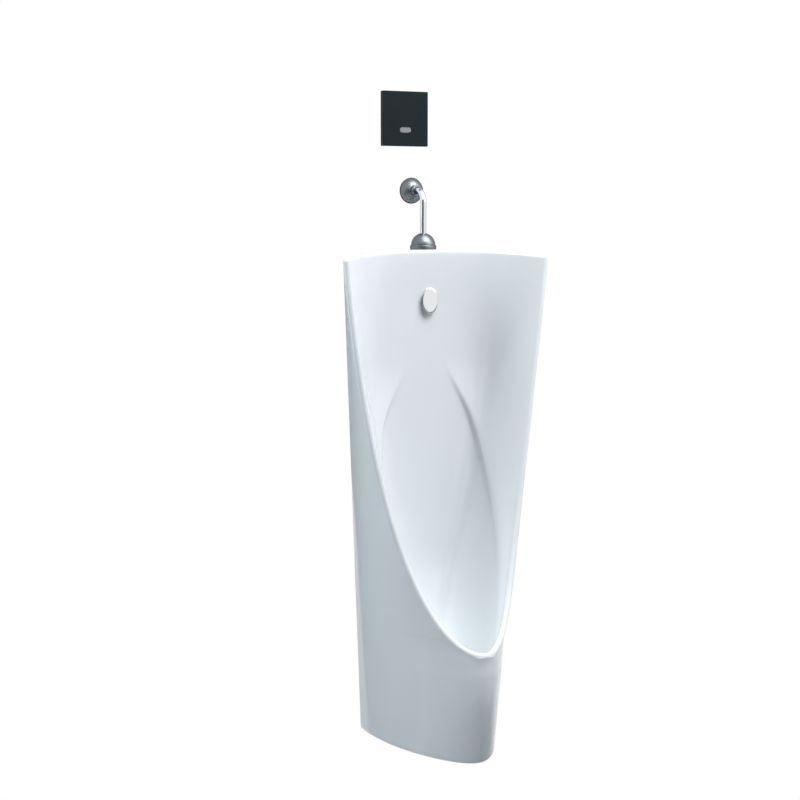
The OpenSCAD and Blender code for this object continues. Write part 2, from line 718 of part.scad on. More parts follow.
module waste_washer() color(rubber)
    pipe_z_at(0, -waste_d, seat_z, seat_z + washer_t, flange_r, tail_r);
module lock_washer() color(rubber)
    pipe_z_at(0, -waste_d, boss_z - washer_t, boss_z, flange_r, tail_r);
module waste_lock_nut() color(brass) difference() {
    hex_z(0, -waste_d, boss_z - washer_t - lock_nut_h, boss_z - washer_t, flange_r - 2);
    translate([0, -waste_d, boss_z - 20]) cylinder(r = tail_r, h = 30);
}

// Trap
neck_r = tail_r - 3.5;
dip_z = cup_z + 17;
module inlet_nut() color(plastic) difference() {
    union() {
        pipe_z_at(0, -waste_d, collar_z - 3, tail_z + 9, tail_r + 4, neck_r + loose);
        for (a = [0:30:330]) translate([0, -waste_d, 0]) rotate([0, 0, a])
            translate([tail_r + 3, -1.5, collar_z - 3]) cube([2.5, 3, tail_z + 12 - collar_z]);
    }
    translate([0, -waste_d, collar_z]) cylinder(r = tail_r, h = 60);
}
module inlet_seal() color(rubber)
    pipe_z_at(0, -waste_d, tail_z - washer_t, tail_z, tail_r - loose, tail_r - tail_t);
module trap_body() color(plastic) difference() {
    union() {
        translate([0, -waste_d, shoulder_z - trap_t])
            cylinder(r = bottle_r, h = bottle_top - shoulder_z + trap_t);
        translate([0, -waste_d, bottle_top]) cylinder(r = neck_r, h = collar_z - bottle_top);
        translate([0, -waste_d, collar_z]) cylinder(r = tail_r - loose, h = collar_h);
        translate([0, -waste_d, shoulder_z - trap_t - 12])
            cylinder(r = bottle_r - trap_t, h = 14);
        translate([0, -waste_d, dip_z]) cylinder(r = neck_r, h = bottle_top - dip_z);
        along_y(0, 0, -waste_d, branch_y, outlet_r + 3);
    }
    difference() {
        translate([0, -waste_d, shoulder_z - trap_t - 13])
            cylinder(r = bottle_r - 2 * trap_t, h = bottle_top - shoulder_z + 13);
        translate([0, -waste_d, shoulder_z - trap_t - 14]) cylinder(r = neck_r, h = 80);
    }
    translate([0, -waste_d, dip_z - 1]) cylinder(r = neck_r - 2.5, h = 120);
    difference() {
        along_y(0, 0, -waste_d, branch_y - 15, outlet_r - 2.5);
        translate([0, -waste_d, -40]) cylinder(r = neck_r, h = 80);
    }
    along_y(0, 0, branch_y - 15, branch_y + 1, outlet_r);
}
module cup_seal() color(rubber)
    pipe_z_at(0, -waste_d, cup_top, cup_top + washer_t, bottle_r, bottle_r - trap_t);
module trap_cup() color(plastic) difference() {
    translate([0, -waste_d, cup_z]) cylinder(r = bottle_r, h = cup_top - cup_z);
    translate([0, -waste_d, cup_z + trap_t]) cylinder(r = bottle_r - trap_t, h = 60);
}
module outlet_nut() color(plastic) difference() {
    union() {
        along_y(0, 0, branch_y - 9, branch_y + washer_t + 3, outlet_r + 6);
        for (a = [0:30:330]) rotate([0, a, 0])
            translate([outlet_r + 5, branch_y - 9, -1.5]) cube([2.5, washer_t + 12, 3]);
    }
    along_y(0, 0, branch_y - 10, branch_y + washer_t, outlet_r + 3);
    along_y(0, 0, branch_y - 10, branch_y + 20, outlet_r);
}
module outlet_seal() color(rubber)
    ring_y(0, 0, branch_y, branch_y + washer_t, outlet_r + 3, outlet_r);
module outlet_pipe() color(plastic) union() {
    ring_y(0, 0, branch_y - 15, -1, outlet_r, outlet_r - 2.5);
    ring_y(0, 0, -1, outlet_in_wall, outlet_r - 0.5, outlet_r - 2.5);
}
module wall_flange() color(plastic) difference() {
    union() {
        along_y(0, 0, -3.5, -1, outlet_r + 14);
        along_y(0, 0, -10, -3.5, outlet_r + 3);
    }
    along_y(0, 0, -11, 1, outlet_r);
}

// Spreader
module spreader_cap() color(chrome) union() {
    translate([0, spreader_y - cap_gap + 2.5, spreader_z]) rotate([90, 0, 0])
        linear_extrude(height = 2.5) scale([cap_w / 2, cap_h / 2]) circle(r = 1);
    along_y(0, spreader_z, spreader_y - cap_gap + 2.5, spreader_y - cap_gap + 4.5, 6);
}
module spreader_body() color(brass) difference() {
    along_y(0, spreader_z, spreader_y - cap_gap + 2.5, spreader_y + 13, 9);
    along_y(0, spreader_z, spreader_y - cap_gap, spreader_y + 14, 6);
    for (a = [0:45:315]) translate([0, spreader_y - cap_gap + 5.8, spreader_z])
        rotate([0, a, 0]) cylinder(r = 0.9, h = 12);
}
module spreader_grommet() color(rubber) difference() {
    union() {
        along_y(0, spreader_z, spreader_y - 1.8, spreader_y, spreader_hole_r + 3);
        along_y(0, spreader_z, spreader_y, spreader_y + 7, spreader_hole_r);
        along_y(0, spreader_z, spreader_y + 7, spreader_y + 9, spreader_hole_r + 3);
    }
    along_y(0, spreader_z, spreader_y - 3, spreader_y + 10, 9);
}

// Flush pipe on the ceramic
module spud_gasket() color(rubber) union() {
    pipe_z_at(0, -pipe_d, top_z, top_z + washer_t, spud_flange_r, spud_r);
    pipe_z_at(0, -pipe_d, top_z - china_t - 2, top_z, spud_hole_r, spud_r);
}
module spud() color(brass) difference() {
    union() {
        translate([0, -pipe_d, top_z - 24]) cylinder(r = spud_r, h = 26);
        translate([0, -pipe_d, top_z + washer_t]) cylinder(r = spud_flange_r, h = 2.5);
        translate([0, -pipe_d, top_z + washer_t]) cylinder(r = spud_r - 1, h = 14);
    }
    translate([0, -pipe_d, top_z - 25]) cylinder(r = spud_r - 3.5, h = 17);
    translate([0, -pipe_d, top_z - 25]) cylinder(r = pipe_r, h = 60);
    translate([0, -pipe_d, top_z + 11]) cylinder(r = pipe_r + 2.5, h = 10);
}
module slip_gasket() color(rubber)
    pipe_z_at(0, -pipe_d, top_z + 11, top_z + 16, pipe_r + 2.5, pipe_r);
module slip_nut() color(brass) difference() {
    hex_z(0, -pipe_d, nut_z, nut_z + nut_h, 13);
    translate([0, -pipe_d, nut_z - 1]) cylinder(r = spud_r - 1, h = top_z + 16 - nut_z + 1);
    translate([0, -pipe_d, nut_z - 1]) cylinder(r = pipe_r, h = 30);
}
module spud_cover() color(chrome) translate([0, -pipe_d, 0]) difference() {
    union() {
        translate([0, 0, top_z + 2 * run]) cylinder(r = dome_r + 2, h = 8 - 2 * run);
        translate([0, 0, dome_z]) sphere(r = dome_r, $fn = 96);
    }
    translate([0, 0, top_z - 40]) cylinder(r = dome_r + 4, h = 40 + 2 * run);
    translate([0, 0, top_z - 1]) cylinder(r = dome_r - dome_t, h = 9);
    intersection() {
        translate([0, 0, dome_z]) sphere(r = dome_r - dome_t, $fn = 96);
        translate([0, 0, dome_z - 1]) cylinder(r = dome_r, h = dome_r + 5);
    }
    translate([0, 0, dome_z]) cylinder(r = pipe_r + loose, h = 40);
}
module flush_pipe() color(chrome) union() {
    pipe_z_at(0, -pipe_d, pipe_foot, pipe_z - bend_r, pipe_r, pipe_r - pipe_t);
    translate([0, bend_r - pipe_d, pipe_z - bend_r]) rotate([90, 0, -90])
        rotate_extrude(angle = 90) translate([bend_r, 0]) difference() {
            circle(r = pipe_r);
            circle(r = pipe_r - pipe_t);
        }
    ring_y(0, pipe_z, bend_r - pipe_d, pipe_end, pipe_r, pipe_r - pipe_t);
}

// Flush pipe at the wall
dome_ball = (pow(wall_dome_r - 1, 2) + pow(wall_dome_d, 2)) / (2 * wall_dome_d);
module wall_escutcheon() color(chrome) translate([0, 0, pipe_z]) difference() {
    union() {
        difference() {
            translate([0, dome_ball - wall_dome_d, 0]) sphere(r = dome_ball, $fn = 96);
            translate([0, dome_ball - wall_dome_d, 0]) sphere(r = dome_ball - dome_t, $fn = 96);
            translate([-60, 0, -60]) cube([120, 120, 120]);
        }
        ring_y(0, 0, -1.2, 0, wall_dome_r, wall_dome_r - 3);
    }
    along_y(0, 0, -60, -1.5, 11);
}
module collar_nut() color(chrome) ring_y(0, pipe_z, -wall_dome_d - 3, -14, 11, pipe_r);
module pipe_o_ring() color(rubber) ring_y(0, pipe_z, 12, 14.5, pipe_r + 2, pipe_r);
module wall_elbow() color(brass) difference() {
    union() {
        along_y(0, pipe_z, 6, elbow_y, elbow_r);
        translate([0, elbow_y, pipe_z - elbow_r - 2]) cylinder(r = elbow_r, h = riser_z - pipe_z + elbow_r + 2);
        translate([-16, elbow_y - 4, pipe_z - elbow_r - 6]) cube([32, elbow_r + 6, 5]);
    }
    along_y(0, pipe_z, 5, pipe_end, pipe_r);
    along_y(0, pipe_z, pipe_end - 1, elbow_y, pipe_r - pipe_t);
    along_y(0, pipe_z, 12, 14.5, pipe_r + 2);
    translate([0, elbow_y, pipe_z]) cylinder(r = riser_r - 1.5, h = 30);
    translate([0, elbow_y, pipe_z + 4]) cylinder(r = riser_r, h = 30);
}
flare_z = boss_low_z - gasket_t;
module riser_pipe() color(chrome) difference() {
    union() {
        translate([0, elbow_y, pipe_z + 4]) cylinder(r = riser_r, h = flare_z - pipe_z - 4);
        translate([0, elbow_y, flare_z - 2.5]) cylinder(r = spigot_r - 1, h = 2.5);
    }
    translate([0, elbow_y, pipe_z]) cylinder(r = riser_r - 1.5, h = 200);
}
module union_gasket() color(rubber)
    pipe_z_at(0, elbow_y, flare_z, boss_low_z, spigot_r - 1, port_r);
module union_nut() color(brass) difference() {
    hex_z(0, elbow_y, flare_z - 5.5, boss_low_z + 6, spigot_r + 3);
    translate([0, elbow_y, flare_z - 2.5]) cylinder(r = spigot_r, h = 60);
    translate([0, elbow_y, flare_z - 10]) cylinder(r = riser_r + loose, h = 60);
}

// Valve in the wall
spigot_r = 12;
port_r = 7;
inlet_r = 4.5;
inlet_boss_r = 13;
inlet_end = 46;
seat_out = port_r + 2;
stop_front = 9;
stop_back = elbow_y + 6;
module valve_body() color(brass) difference() {
    union() {
        translate([0, elbow_y, port_z - 8]) cylinder(r = valve_r, h = bonnet_z - port_z + 8);
        translate([0, elbow_y, boss_low_z]) cylinder(r = spigot_r, h = port_z - 8 - boss_low_z);
        along_x(elbow_y, port_z, stop_x, inlet_end, inlet_boss_r);
        along_y(stop_x, port_z, stop_front, elbow_y, stop_r + 3);
    }
    difference() {
        translate([0, elbow_y, chamber_z]) cylinder(r = piston_r, h = 60);
        translate([0, elbow_y, chamber_z - 1]) cylinder(r = seat_out, h = seat_ring_z - chamber_z + 1);
    }
    translate([0, elbow_y, boss_low_z - 1]) cylinder(r = port_r, h = 100);
    along_y(stop_x, port_z, stop_front - 1, stop_back, stop_r);
    along_x(elbow_y, port_z, stop_x, inlet_end + 1, inlet_r);
    along_x(elbow_y, port_z, inlet_end - 15, inlet_end + 1, filter_r);
    along_x(elbow_y, port_z, inlet_end - 13, inlet_end + 1, inlet_thread_r);
    translate([12, elbow_y, port_z]) cylinder(r = 2.8, h = chamber_z - port_z + 1);
    for (a = [45:90:315]) translate([0, elbow_y, 0]) rotate([0, 0, a])
        translate([valve_r - 3, 0, bonnet_z - 10]) cylinder(r = 1.5, h = 20);
}
inlet_thread_r = 9.5;
filter_r = inlet_thread_r - 1;
module inlet_filter() color(steel) difference() {
    along_x(elbow_y, port_z, inlet_end - 15, inlet_end - 13, filter_r);
    for (a = [0:60:300]) translate([inlet_end - 16, elbow_y, port_z]) rotate([a, 0, 0])
        translate([0, 3, 0]) rotate([0, 90, 0]) cylinder(r = 0.9, h = 6);
    along_x(elbow_y, port_z, inlet_end - 16, inlet_end - 10, 0.9);
}
module piston() color(brass) translate([0, elbow_y, 0]) difference() {
    union() {
        translate([0, 0, seat_ring_z + 2.5]) cylinder(r = seat_out, h = 6);
        translate([0, 0, plate_z - 2]) cylinder(r = piston_r - run, h = 7);
    }
    translate([0, 0, plate_z + 2]) cylinder(r = 6, h = 10);
    translate([12, 0, plate_z - 10]) cylinder(r = 0.6, h = 30);
}
module piston_seal() color(rubber)
    translate([0, elbow_y, seat_ring_z]) cylinder(r = seat_out - 0.4, h = 2.5);
module valve_bonnet() color(brass) difference() {
    union() {
        translate([0, elbow_y, bonnet_z]) cylinder(r = valve_r, h = bonnet_t);
        translate([0, elbow_y, bonnet_z]) cylinder(r = tube_r + 3, h = bonnet_t + 2);
    }
    translate([0, elbow_y, bonnet_z - 1]) cylinder(r = 1.5, h = 20);
    translate([0, elbow_y, plunger_z]) cylinder(r = plunger_r + run, h = 20);
    translate([0, elbow_y, bonnet_z + bonnet_t]) cylinder(r = tube_r, h = 20);
    for (a = [45:90:315]) translate([0, elbow_y, 0]) rotate([0, 0, a])
        translate([valve_r - 3, 0, bonnet_z - 1]) cylinder(r = 1.5, h = 20);
}
tube_r = 5;
plunger_r = 3.95;
plunger_z = bonnet_z + 3;
tube_top = bonnet_z + 25.5;
module bonnet_screws() color(steel) for (a = [45:90:315]) translate([0, elbow_y, 0])
    rotate([0, 0, a]) translate([valve_r - 3, 0, 0]) {
        translate([0, 0, bonnet_z - 10]) cylinder(r = 1.5, h = bonnet_t + 10);
        difference() {
            translate([0, 0, bonnet_z + bonnet_t]) cylinder(r = 2.6, h = 2.4);
            translate([0, 0, bonnet_z + bonnet_t + 1]) cylinder(r = 1.4, h = 3, $fn = 6);
        }
    }
module armature_tube() color(steel) translate([0, elbow_y, 0]) difference() {
    translate([0, 0, bonnet_z + bonnet_t]) cylinder(r = tube_r, h = tube_top - bonnet_z - bonnet_t);
    translate([0, 0, bonnet_z]) cylinder(r = plunger_r + run, h = tube_top - 1.5 - bonnet_z);
}
module solenoid_coil() color(black) union() {
    pipe_z_at(0, elbow_y, bonnet_z + bonnet_t + 2, bonnet_z + bonnet_t + 18, 12, tube_r);
    translate([-12, elbow_y - 15, bonnet_z + bonnet_t + 6]) difference() {
        cube([8, 8, 8]);
        translate([12, 15, -1]) cylinder(r = 11.8, h = 10);
    }
}
module plunger() color(steel) translate([0, elbow_y, 0]) difference() {
    translate([0, 0, plunger_z]) cylinder(r = plunger_r, h = 12);
    translate([0, 0, plunger_z + 9]) cylinder(r = 1.6, h = 10);
}
spring_z = plunger_z + 12;
spring_top = tube_top - 1.5;
function coil(n, turns, r, wire, z0, z1, sides) = [
    for (i = [0:n]) let (a = 360 * turns * i / n, z = mix(z0 + wire, z1 - wire, i / n))
        for (j = [0:sides - 1]) let (b = 360 * j / sides)
            [(r + wire * cos(b)) * cos(a), (r + wire * cos(b)) * sin(a), z + wire * sin(b)]
];
module plunger_spring() color(steel) translate([0, elbow_y, 0]) {
    n = 90;
    sides = 6;
    polyhedron(
        points = coil(n, 5, 2.7, 0.4, spring_z, spring_top, sides),
        faces = concat(
            [for (i = [0:n - 1]) for (j = [0:sides - 1]) each [
                [i * sides + j, (i + 1) * sides + j, (i + 1) * sides + (j + 1) % sides],
                [i * sides + j, (i + 1) * sides + (j + 1) % sides, i * sides + (j + 1) % sides]
            ]],
            [[for (j = [0:sides - 1]) j]],
            [[for (j = [sides - 1:-1:0]) n * sides + j]]
        ),
        convexity = 6
    );
}
// Stop valve: a screw that turns in place and drives a plug along its bore
stem_r = 2.5;
thread_r = 1.9;
plug_front = stop_front + 5.7;
module stop_gland() color(brass) difference() {
    union() {
        hex_y(stop_x, port_z, stop_front - 3.5, stop_front, stop_r + 2);
        along_y(stop_x, port_z, stop_front, stop_front + 4, stop_r);
    }
    along_y(stop_x, port_z, 0, 40, stem_r + run);
}
module stop_spindle() color(brass) difference() {
    union() {
        along_y(stop_x, port_z, stop_front - 6, stop_front + 4.1, stem_r);
        along_y(stop_x, port_z, stop_front + 4.1, stop_front + 5.4, stop_r - 0.6);
        along_y(stop_x, port_z, stop_front + 5, plug_front + 15, thread_r);
    }
    translate([stop_x - 0.4, stop_front - 7, port_z - 4]) cube([0.8, 2, 8]);
}
module stop_plug() color(brass) difference() {
    along_y(stop_x, port_z, plug_front, plug_front + 17, stop_r - run);
    along_y(stop_x, port_z, plug_front - 1, plug_front + 15.4, thread_r + run);
}

// Box, plate and electronics
post_x = box_w / 2 - 5;
post_z = box_h / 2 - 5;
module wall_box() color(plastic) difference() {
    union() {
        difference() {
            slab(plate_x, plate_z, box_w, box_h, 0, box_d, 2);
            slab(plate_x, plate_z, box_w - 2 * box_t, box_h - 2 * box_t, -1, box_d - box_t, 1);
        }
        for (i = [-1, 1]) for (j = [-1, 1])
            translate([plate_x + i * (post_x + 1) - 4, 0, plate_z + j * (post_z + 1) - 4])
                cube([8, 16, 8]);
    }
    for (i = [-1, 1]) for (j = [-1, 1])
        along_y(plate_x + i * post_x, plate_z + j * post_z, -1, 12, 1.5);
    along_x(elbow_y, port_z, 0, 60, inlet_boss_r);
    translate([0, elbow_y, boss_low_z]) cylinder(r = spigot_r, h = 20);
}
case_w = 34;
case_x = plate_x - box_w / 2 + box_t;
case_low = plate_z - 26;
module battery_case() color(black) difference() {
    translate([case_x, 14, case_low]) cube([case_w, 34, 55]);
    translate([case_x + 2, 16, case_low + 2]) cube([case_w - 4, 30, 50.6]);
}
module battery_cells() color([0.35, 0.45, 0.35])
    for (i = [0, 1]) for (j = [0, 1])
        translate([case_x + 2 + 7.5 + 15 * i, 16 + 7.5 + 15 * j, case_low + 2]) union() {
            cylinder(r = 7.25, h = 49);
            translate([0, 0, 49]) cylinder(r = 2.6, h = 1.4);
        }
module sensor_module() color(black) difference() {
    translate([plate_x - 22, 2, window_z - 11]) cube([44, 12, 22]);
    for (i = [-1, 1]) along_y(plate_x + 6 * i, window_z, 0, 6, 2.5);
}
module infrared_pair() color([0.25, 0.2, 0.25])
    for (i = [-1, 1]) along_y(plate_x + 6 * i, window_z, -2.5, 6, 2.5);
module plate_gasket() color(rubber) difference() {
    slab(plate_x, plate_z, box_w, box_h, -gasket_t, 0, 2);
    slab(plate_x, plate_z, box_w - 18, box_h - 18, -gasket_t - 1, 1, 1);
    for (i = [-1, 1]) for (j = [-1, 1])
        along_y(plate_x + i * post_x, plate_z + j * post_z, -5, 2, 1.5);
}
module plate_frame() color(black) difference() {
    slab(plate_x, plate_z, plate_w - 4 - 2 * loose, plate_h - 4 - 2 * loose,
        -gasket_t - frame_t, -gasket_t, 1.5);
    slab(plate_x, plate_z, box_w - 18, box_h - 18, -10, 1, 1);
    for (i = [-1, 1]) for (j = [-1, 1])
        along_y(plate_x + i * post_x, plate_z + j * post_z, -10, 2, 1.5);
}
module frame_screws() color(steel) for (i = [-1, 1]) for (j = [-1, 1]) difference() {
    union() {
        along_y(plate_x + i * post_x, plate_z + j * post_z, -gasket_t - frame_t, 10, 1.5);
        along_y(plate_x + i * post_x, plate_z + j * post_z, -gasket_t - frame_t - 1.8,
            -gasket_t - frame_t, 2.8);
    }
    translate([plate_x + i * post_x - 0.4, -8, plate_z + j * post_z - 2])
        cube([0.8, 3.2, 4]);
}
module cover_plate() color(black) difference() {
    slab(plate_x, plate_z, plate_w, plate_h, -plate_t, -0.3, 2);
    slab(plate_x, plate_z, plate_w - 4, plate_h - 4, face_t - plate_t, 1, 1);
    pill(plate_x, window_z, window_w, window_h, -plate_t - 1, 1);
}
module sensor_lens() color([0.5, 0.52, 0.55])
    pill(plate_x, window_z, window_w, window_h, 0.4 - plate_t, face_t - plate_t + 1);

urinal_body();
hanger_brackets();
hanger_screws();
lower_screws();
lower_washers();
wall_plugs();
strainer();
waste_fitting();
waste_washer();
lock_washer();
waste_lock_nut();
inlet_nut();
inlet_seal();
trap_body();
cup_seal();
trap_cup();
outlet_nut();
outlet_seal();
outlet_pipe();
wall_flange();
spreader_cap();
spreader_body();
spreader_grommet();
spud_gasket();
spud();
slip_gasket();
slip_nut();
spud_cover();
flush_pipe();
wall_escutcheon();
collar_nut();
pipe_o_ring();
wall_elbow();
riser_pipe();
union_gasket();
union_nut();
valve_body();
piston();
piston_seal();
valve_bonnet();
bonnet_screws();
armature_tube();
solenoid_coil();
plunger();
plunger_spring();
stop_gland();
stop_spindle();
stop_plug();
inlet_filter();
wall_box();
battery_case();
battery_cells();
sensor_module();
infrared_pair();
plate_gasket();
plate_frame();
frame_screws();
cover_plate();
sensor_lens();
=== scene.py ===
"""A wall-hung urinal with its flush pipe, its sensor valve in the wall and its bottle trap.

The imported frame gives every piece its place. The ceramic and the bright trim are modelled
here in full, and every other piece keeps its own shape and gets its finish.
"""
import json
import math

import bpy
import numpy as np
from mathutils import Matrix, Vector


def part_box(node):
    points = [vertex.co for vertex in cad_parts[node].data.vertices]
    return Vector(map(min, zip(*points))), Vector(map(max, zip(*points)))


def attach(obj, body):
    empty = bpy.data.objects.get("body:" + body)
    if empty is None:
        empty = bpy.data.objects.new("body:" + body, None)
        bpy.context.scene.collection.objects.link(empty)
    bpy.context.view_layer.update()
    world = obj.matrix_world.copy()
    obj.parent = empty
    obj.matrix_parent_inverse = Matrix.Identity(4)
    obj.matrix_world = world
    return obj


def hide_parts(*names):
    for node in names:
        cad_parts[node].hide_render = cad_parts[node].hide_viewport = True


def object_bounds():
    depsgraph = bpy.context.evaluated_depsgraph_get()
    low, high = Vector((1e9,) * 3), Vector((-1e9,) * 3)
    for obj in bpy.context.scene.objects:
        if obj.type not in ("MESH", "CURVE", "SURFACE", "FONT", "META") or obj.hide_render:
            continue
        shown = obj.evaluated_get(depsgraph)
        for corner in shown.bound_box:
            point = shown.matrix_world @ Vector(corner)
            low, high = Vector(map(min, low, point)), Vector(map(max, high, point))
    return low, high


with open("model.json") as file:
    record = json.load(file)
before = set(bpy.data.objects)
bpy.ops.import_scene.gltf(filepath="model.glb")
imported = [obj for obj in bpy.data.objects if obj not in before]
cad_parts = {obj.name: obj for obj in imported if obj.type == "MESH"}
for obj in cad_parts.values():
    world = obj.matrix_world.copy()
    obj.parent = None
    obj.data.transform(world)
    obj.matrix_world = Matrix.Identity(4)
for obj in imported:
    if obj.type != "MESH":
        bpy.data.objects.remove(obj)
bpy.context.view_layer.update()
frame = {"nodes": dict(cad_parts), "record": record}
MM = 0.001


# Selecting and finishing

# What turns an upright primitive to lie along X, Y or Z
AXIS_TURNS = ((0, math.pi / 2, 0), (math.pi / 2, 0, 0), (0, 0, 0))


def deselect_all():
    bpy.ops.object.select_all(action="DESELECT")


def only(*objects):
    """Select just these objects, the first one active."""
    deselect_all()
    for obj in objects:
        obj.select_set(True)
    bpy.context.view_layer.objects.active = objects[0]


def named(name):
    """The object that an operator has just added, under its own name."""
    obj = bpy.context.active_object
    obj.name = name
    obj.data.name = name
    return obj


def remove(obj):
    """Delete an object and its mesh."""
    mesh = obj.data
    bpy.data.objects.remove(obj)
    bpy.data.meshes.remove(mesh)


def apply_place(obj):
    """Put an object's place, turn and scale into its mesh."""
    only(obj)
    bpy.ops.object.transform_apply(location=True, rotation=True, scale=True)


def modifier(obj, kind, **settings):
    """Add a modifier, set it and apply it."""
    only(obj)
    step = obj.modifiers.new(kind.title(), kind)
    for key, value in settings.items():
        setattr(step, key, value)
    bpy.ops.object.modifier_apply(modifier=step.name)


def edit(obj, mode="FACE"):
    """Open an object's mesh for editing."""
    only(obj)
    bpy.ops.object.mode_set(mode="EDIT")
    bpy.ops.mesh.select_mode(type=mode)


def done():
    """Close the mesh that is open."""
    bpy.ops.object.mode_set(mode="OBJECT")


def clean(obj, gap=0.00001):
    """Merge doubles and turn every face outwards."""
    only(obj)
    bpy.ops.object.mode_set(mode="EDIT")
    bpy.ops.mesh.select_all(action="SELECT")
    bpy.ops.mesh.remove_doubles(threshold=gap)
    bpy.ops.mesh.dissolve_degenerate(threshold=gap)
    bpy.ops.mesh.normals_make_consistent(inside=False)
    done()


def smooth_by_angle(obj, degrees=32):
    """Shade an object smooth, with its edges sharp past an angle."""
    only(obj)
    bpy.ops.object.shade_smooth_by_angle(angle=math.radians(degrees))


def bevel_edges(obj, test, width, segments):
    """Bevel the edges whose two ends pass the test."""
    points = obj.data.vertices
    for item in (*obj.data.polygons, *points):
        item.select = False
    for edge in obj.data.edges:
        a, b = (points[i] for i in edge.vertices)
        edge.select = test(a.co, b.co)
        if edge.select:
            a.select = b.select = True
    bpy.context.tool_settings.mesh_select_mode = (False, True, False)
    edit(obj, "EDGE")
    bpy.ops.mesh.bevel(offset=width, offset_type="OFFSET", segments=segments, affect="EDGES")
    done()


def cut(obj, *tools, operation="DIFFERENCE"):
    """Cut the tools out of a piece, or add them to it, and delete them."""
    for tool in tools:
        modifier(obj, "BOOLEAN", operation=operation, object=tool, solver="EXACT")
    for tool in tools:
        remove(tool)


def merged(name, pieces):
    """Several closed pieces as one object, their overlaps joined."""
    first, *others = pieces
    for piece in others:
        cut(first, piece, operation="UNION")
    first.name = name
    return first


def cylinder(name, radius, start, end, sides=96):
    """A cylinder between two points on an axis."""
    start, end = np.array(start, float), np.array(end, float)
    run = end - start
    deselect_all()
    bpy.ops.mesh.primitive_cylinder_add(
        vertices=sides, radius=radius, depth=float(np.linalg.norm(run)),
        location=tuple((start + end) / 2), rotation=AXIS_TURNS[int(np.argmax(abs(run)))])
    obj = named(name)
    apply_place(obj)
    return obj


def block(name, low, high):
    """A box between its lowest and highest corners."""
    low, high = np.array(low, float), np.array(high, float)
    deselect_all()
    bpy.ops.mesh.primitive_cube_add(size=1, location=tuple((low + high) / 2))
    obj = named(name)
    obj.scale = tuple(high - low)
    apply_place(obj)
    return obj


def turned(name, profile, centre, axis="Z", sides=128):
    """A turned piece: a circle drawn out ring by ring along (radius, height) points."""
    radius, height = profile[0]
    deselect_all()
    bpy.ops.mesh.primitive_circle_add(vertices=sides, radius=radius, location=(0, 0, height))
    obj = named(name)
    apply_place(obj)
    edit(obj, "EDGE")
    bpy.ops.mesh.select_all(action="SELECT")
    for next_radius, next_height in profile[1:]:
        bpy.ops.mesh.extrude_region_move(
            TRANSFORM_OT_translate={"value": (0, 0, next_height - height)})
        scale = next_radius / radius
        bpy.ops.transform.resize(value=(scale, scale, 1), center_override=(0, 0, next_height))
        radius, height = next_radius, next_height
    done()
    if axis == "Y":
        obj.rotation_euler = (math.pi / 2, 0, 0)
    obj.location = tuple(centre)
    apply_place(obj)
    return obj


def arc(cx, cy, radius, start, end, steps):
    """Points on an arc, for a profile."""
    return [
        (cx + radius * math.cos(math.radians(start + (end - start) * i / steps)),
         cy + radius * math.sin(math.radians(start + (end - start) * i / steps)))
        for i in range(steps + 1)
    ]


def rgba(colour):
    """A colour with its alpha."""
    return (*colour, 1)


# The camera, the lamps and the stage, in metres, degrees and watts

CAMERA_PLACE = (-1.423, -2.746, 0.940)
CAMERA_TILT, CAMERA_TURN = 83.23, -27
LENS, SENSOR = 72, 36

# Each lamp: its name, place, target, size, power and colour
LAMPS = (
    ("lamp_front", (0.5, -1.6, 2.7), (0, -0.1, 0.5), (1.6, 1.0), 54, (0.96, 0.99, 1.0)),
    ("lamp_top", (0.2, -0.8, 2.9), (0, -0.15, 0.4), (1.6, 1.2), 26, (1.0, 0.99, 0.98)),
    ("lamp_left", (-1.9, -1.8, 2.3), (0, -0.1, 0.5), (1.4, 1.4), 4, (0.86, 0.95, 1.0)),
    ("lamp_flank", (-2.2, -0.08, 1.3), (-0.15, -0.1, 0.75), (1.0, 1.2), 29.5, (0.9, 0.97, 1.0)),
    ("lamp_right", (1.7, -2.0, 1.9), (0, -0.1, 0.5), (1.6, 1.6), 25, (1.0, 0.99, 0.97)),
)
AMBIENT, AMBIENT_TINT = 0.055, (0.93, 0.97, 1.0)

LEVEL, UPRIGHT = (0, 0, 0), (math.pi / 2, 0, 0)
FLOOR_DROP, FLOOR_SIZE = 0.39, 14
WALL_MIDDLE, WALL_WIDTH, WALL_GAP = 1.4, 5, 0.0006
CARD_DISTANCE, CARD_MIDDLE, CARD_HEIGHT = 4.4, 0.9, 3.4
WHITE, FLOOR_PAINT, PLASTER = (1, 1, 1), (0.50, 0.53, 0.56), (0.85, 0.87, 0.89)
BLACK_CLOTH, DARK_CLOTH = (0.01, 0.01, 0.012), (0.02, 0.02, 0.02)
PALE_CLOTH = (0.86, 0.9, 0.93)


def make_camera():
    """The camera, at the photograph's viewing angle."""
    bpy.ops.object.camera_add(location=CAMERA_PLACE)
    camera = bpy.context.active_object
    camera.name = "camera"
    camera.rotation_euler = (math.radians(CAMERA_TILT), 0, math.radians(CAMERA_TURN))
    camera.data.lens = LENS
    camera.data.sensor_width = SENSOR
    bpy.context.scene.camera = camera


def lamp(name, place, target, size, power, colour):
    """A soft lamp that looks at its target."""
    bpy.ops.object.light_add(type="AREA", location=place)
    light = bpy.context.active_object
    light.name = name
    light.data.shape = "RECTANGLE"
    light.data.size, light.data.size_y = size
    light.data.energy = power
    light.data.color = colour
    aim = np.array(target, float) - np.array(place, float)
    light.rotation_euler = (
        math.atan2(math.hypot(aim[0], aim[1]), -aim[2]), 0, math.atan2(-aim[0], aim[1]))
    return light


def make_lamps():
    """All the lamps. The one at the flank gives light but doesn't show in the glaze."""
    lights = {settings[0]: lamp(*settings) for settings in LAMPS}
    lights["lamp_flank"].visible_glossy = False


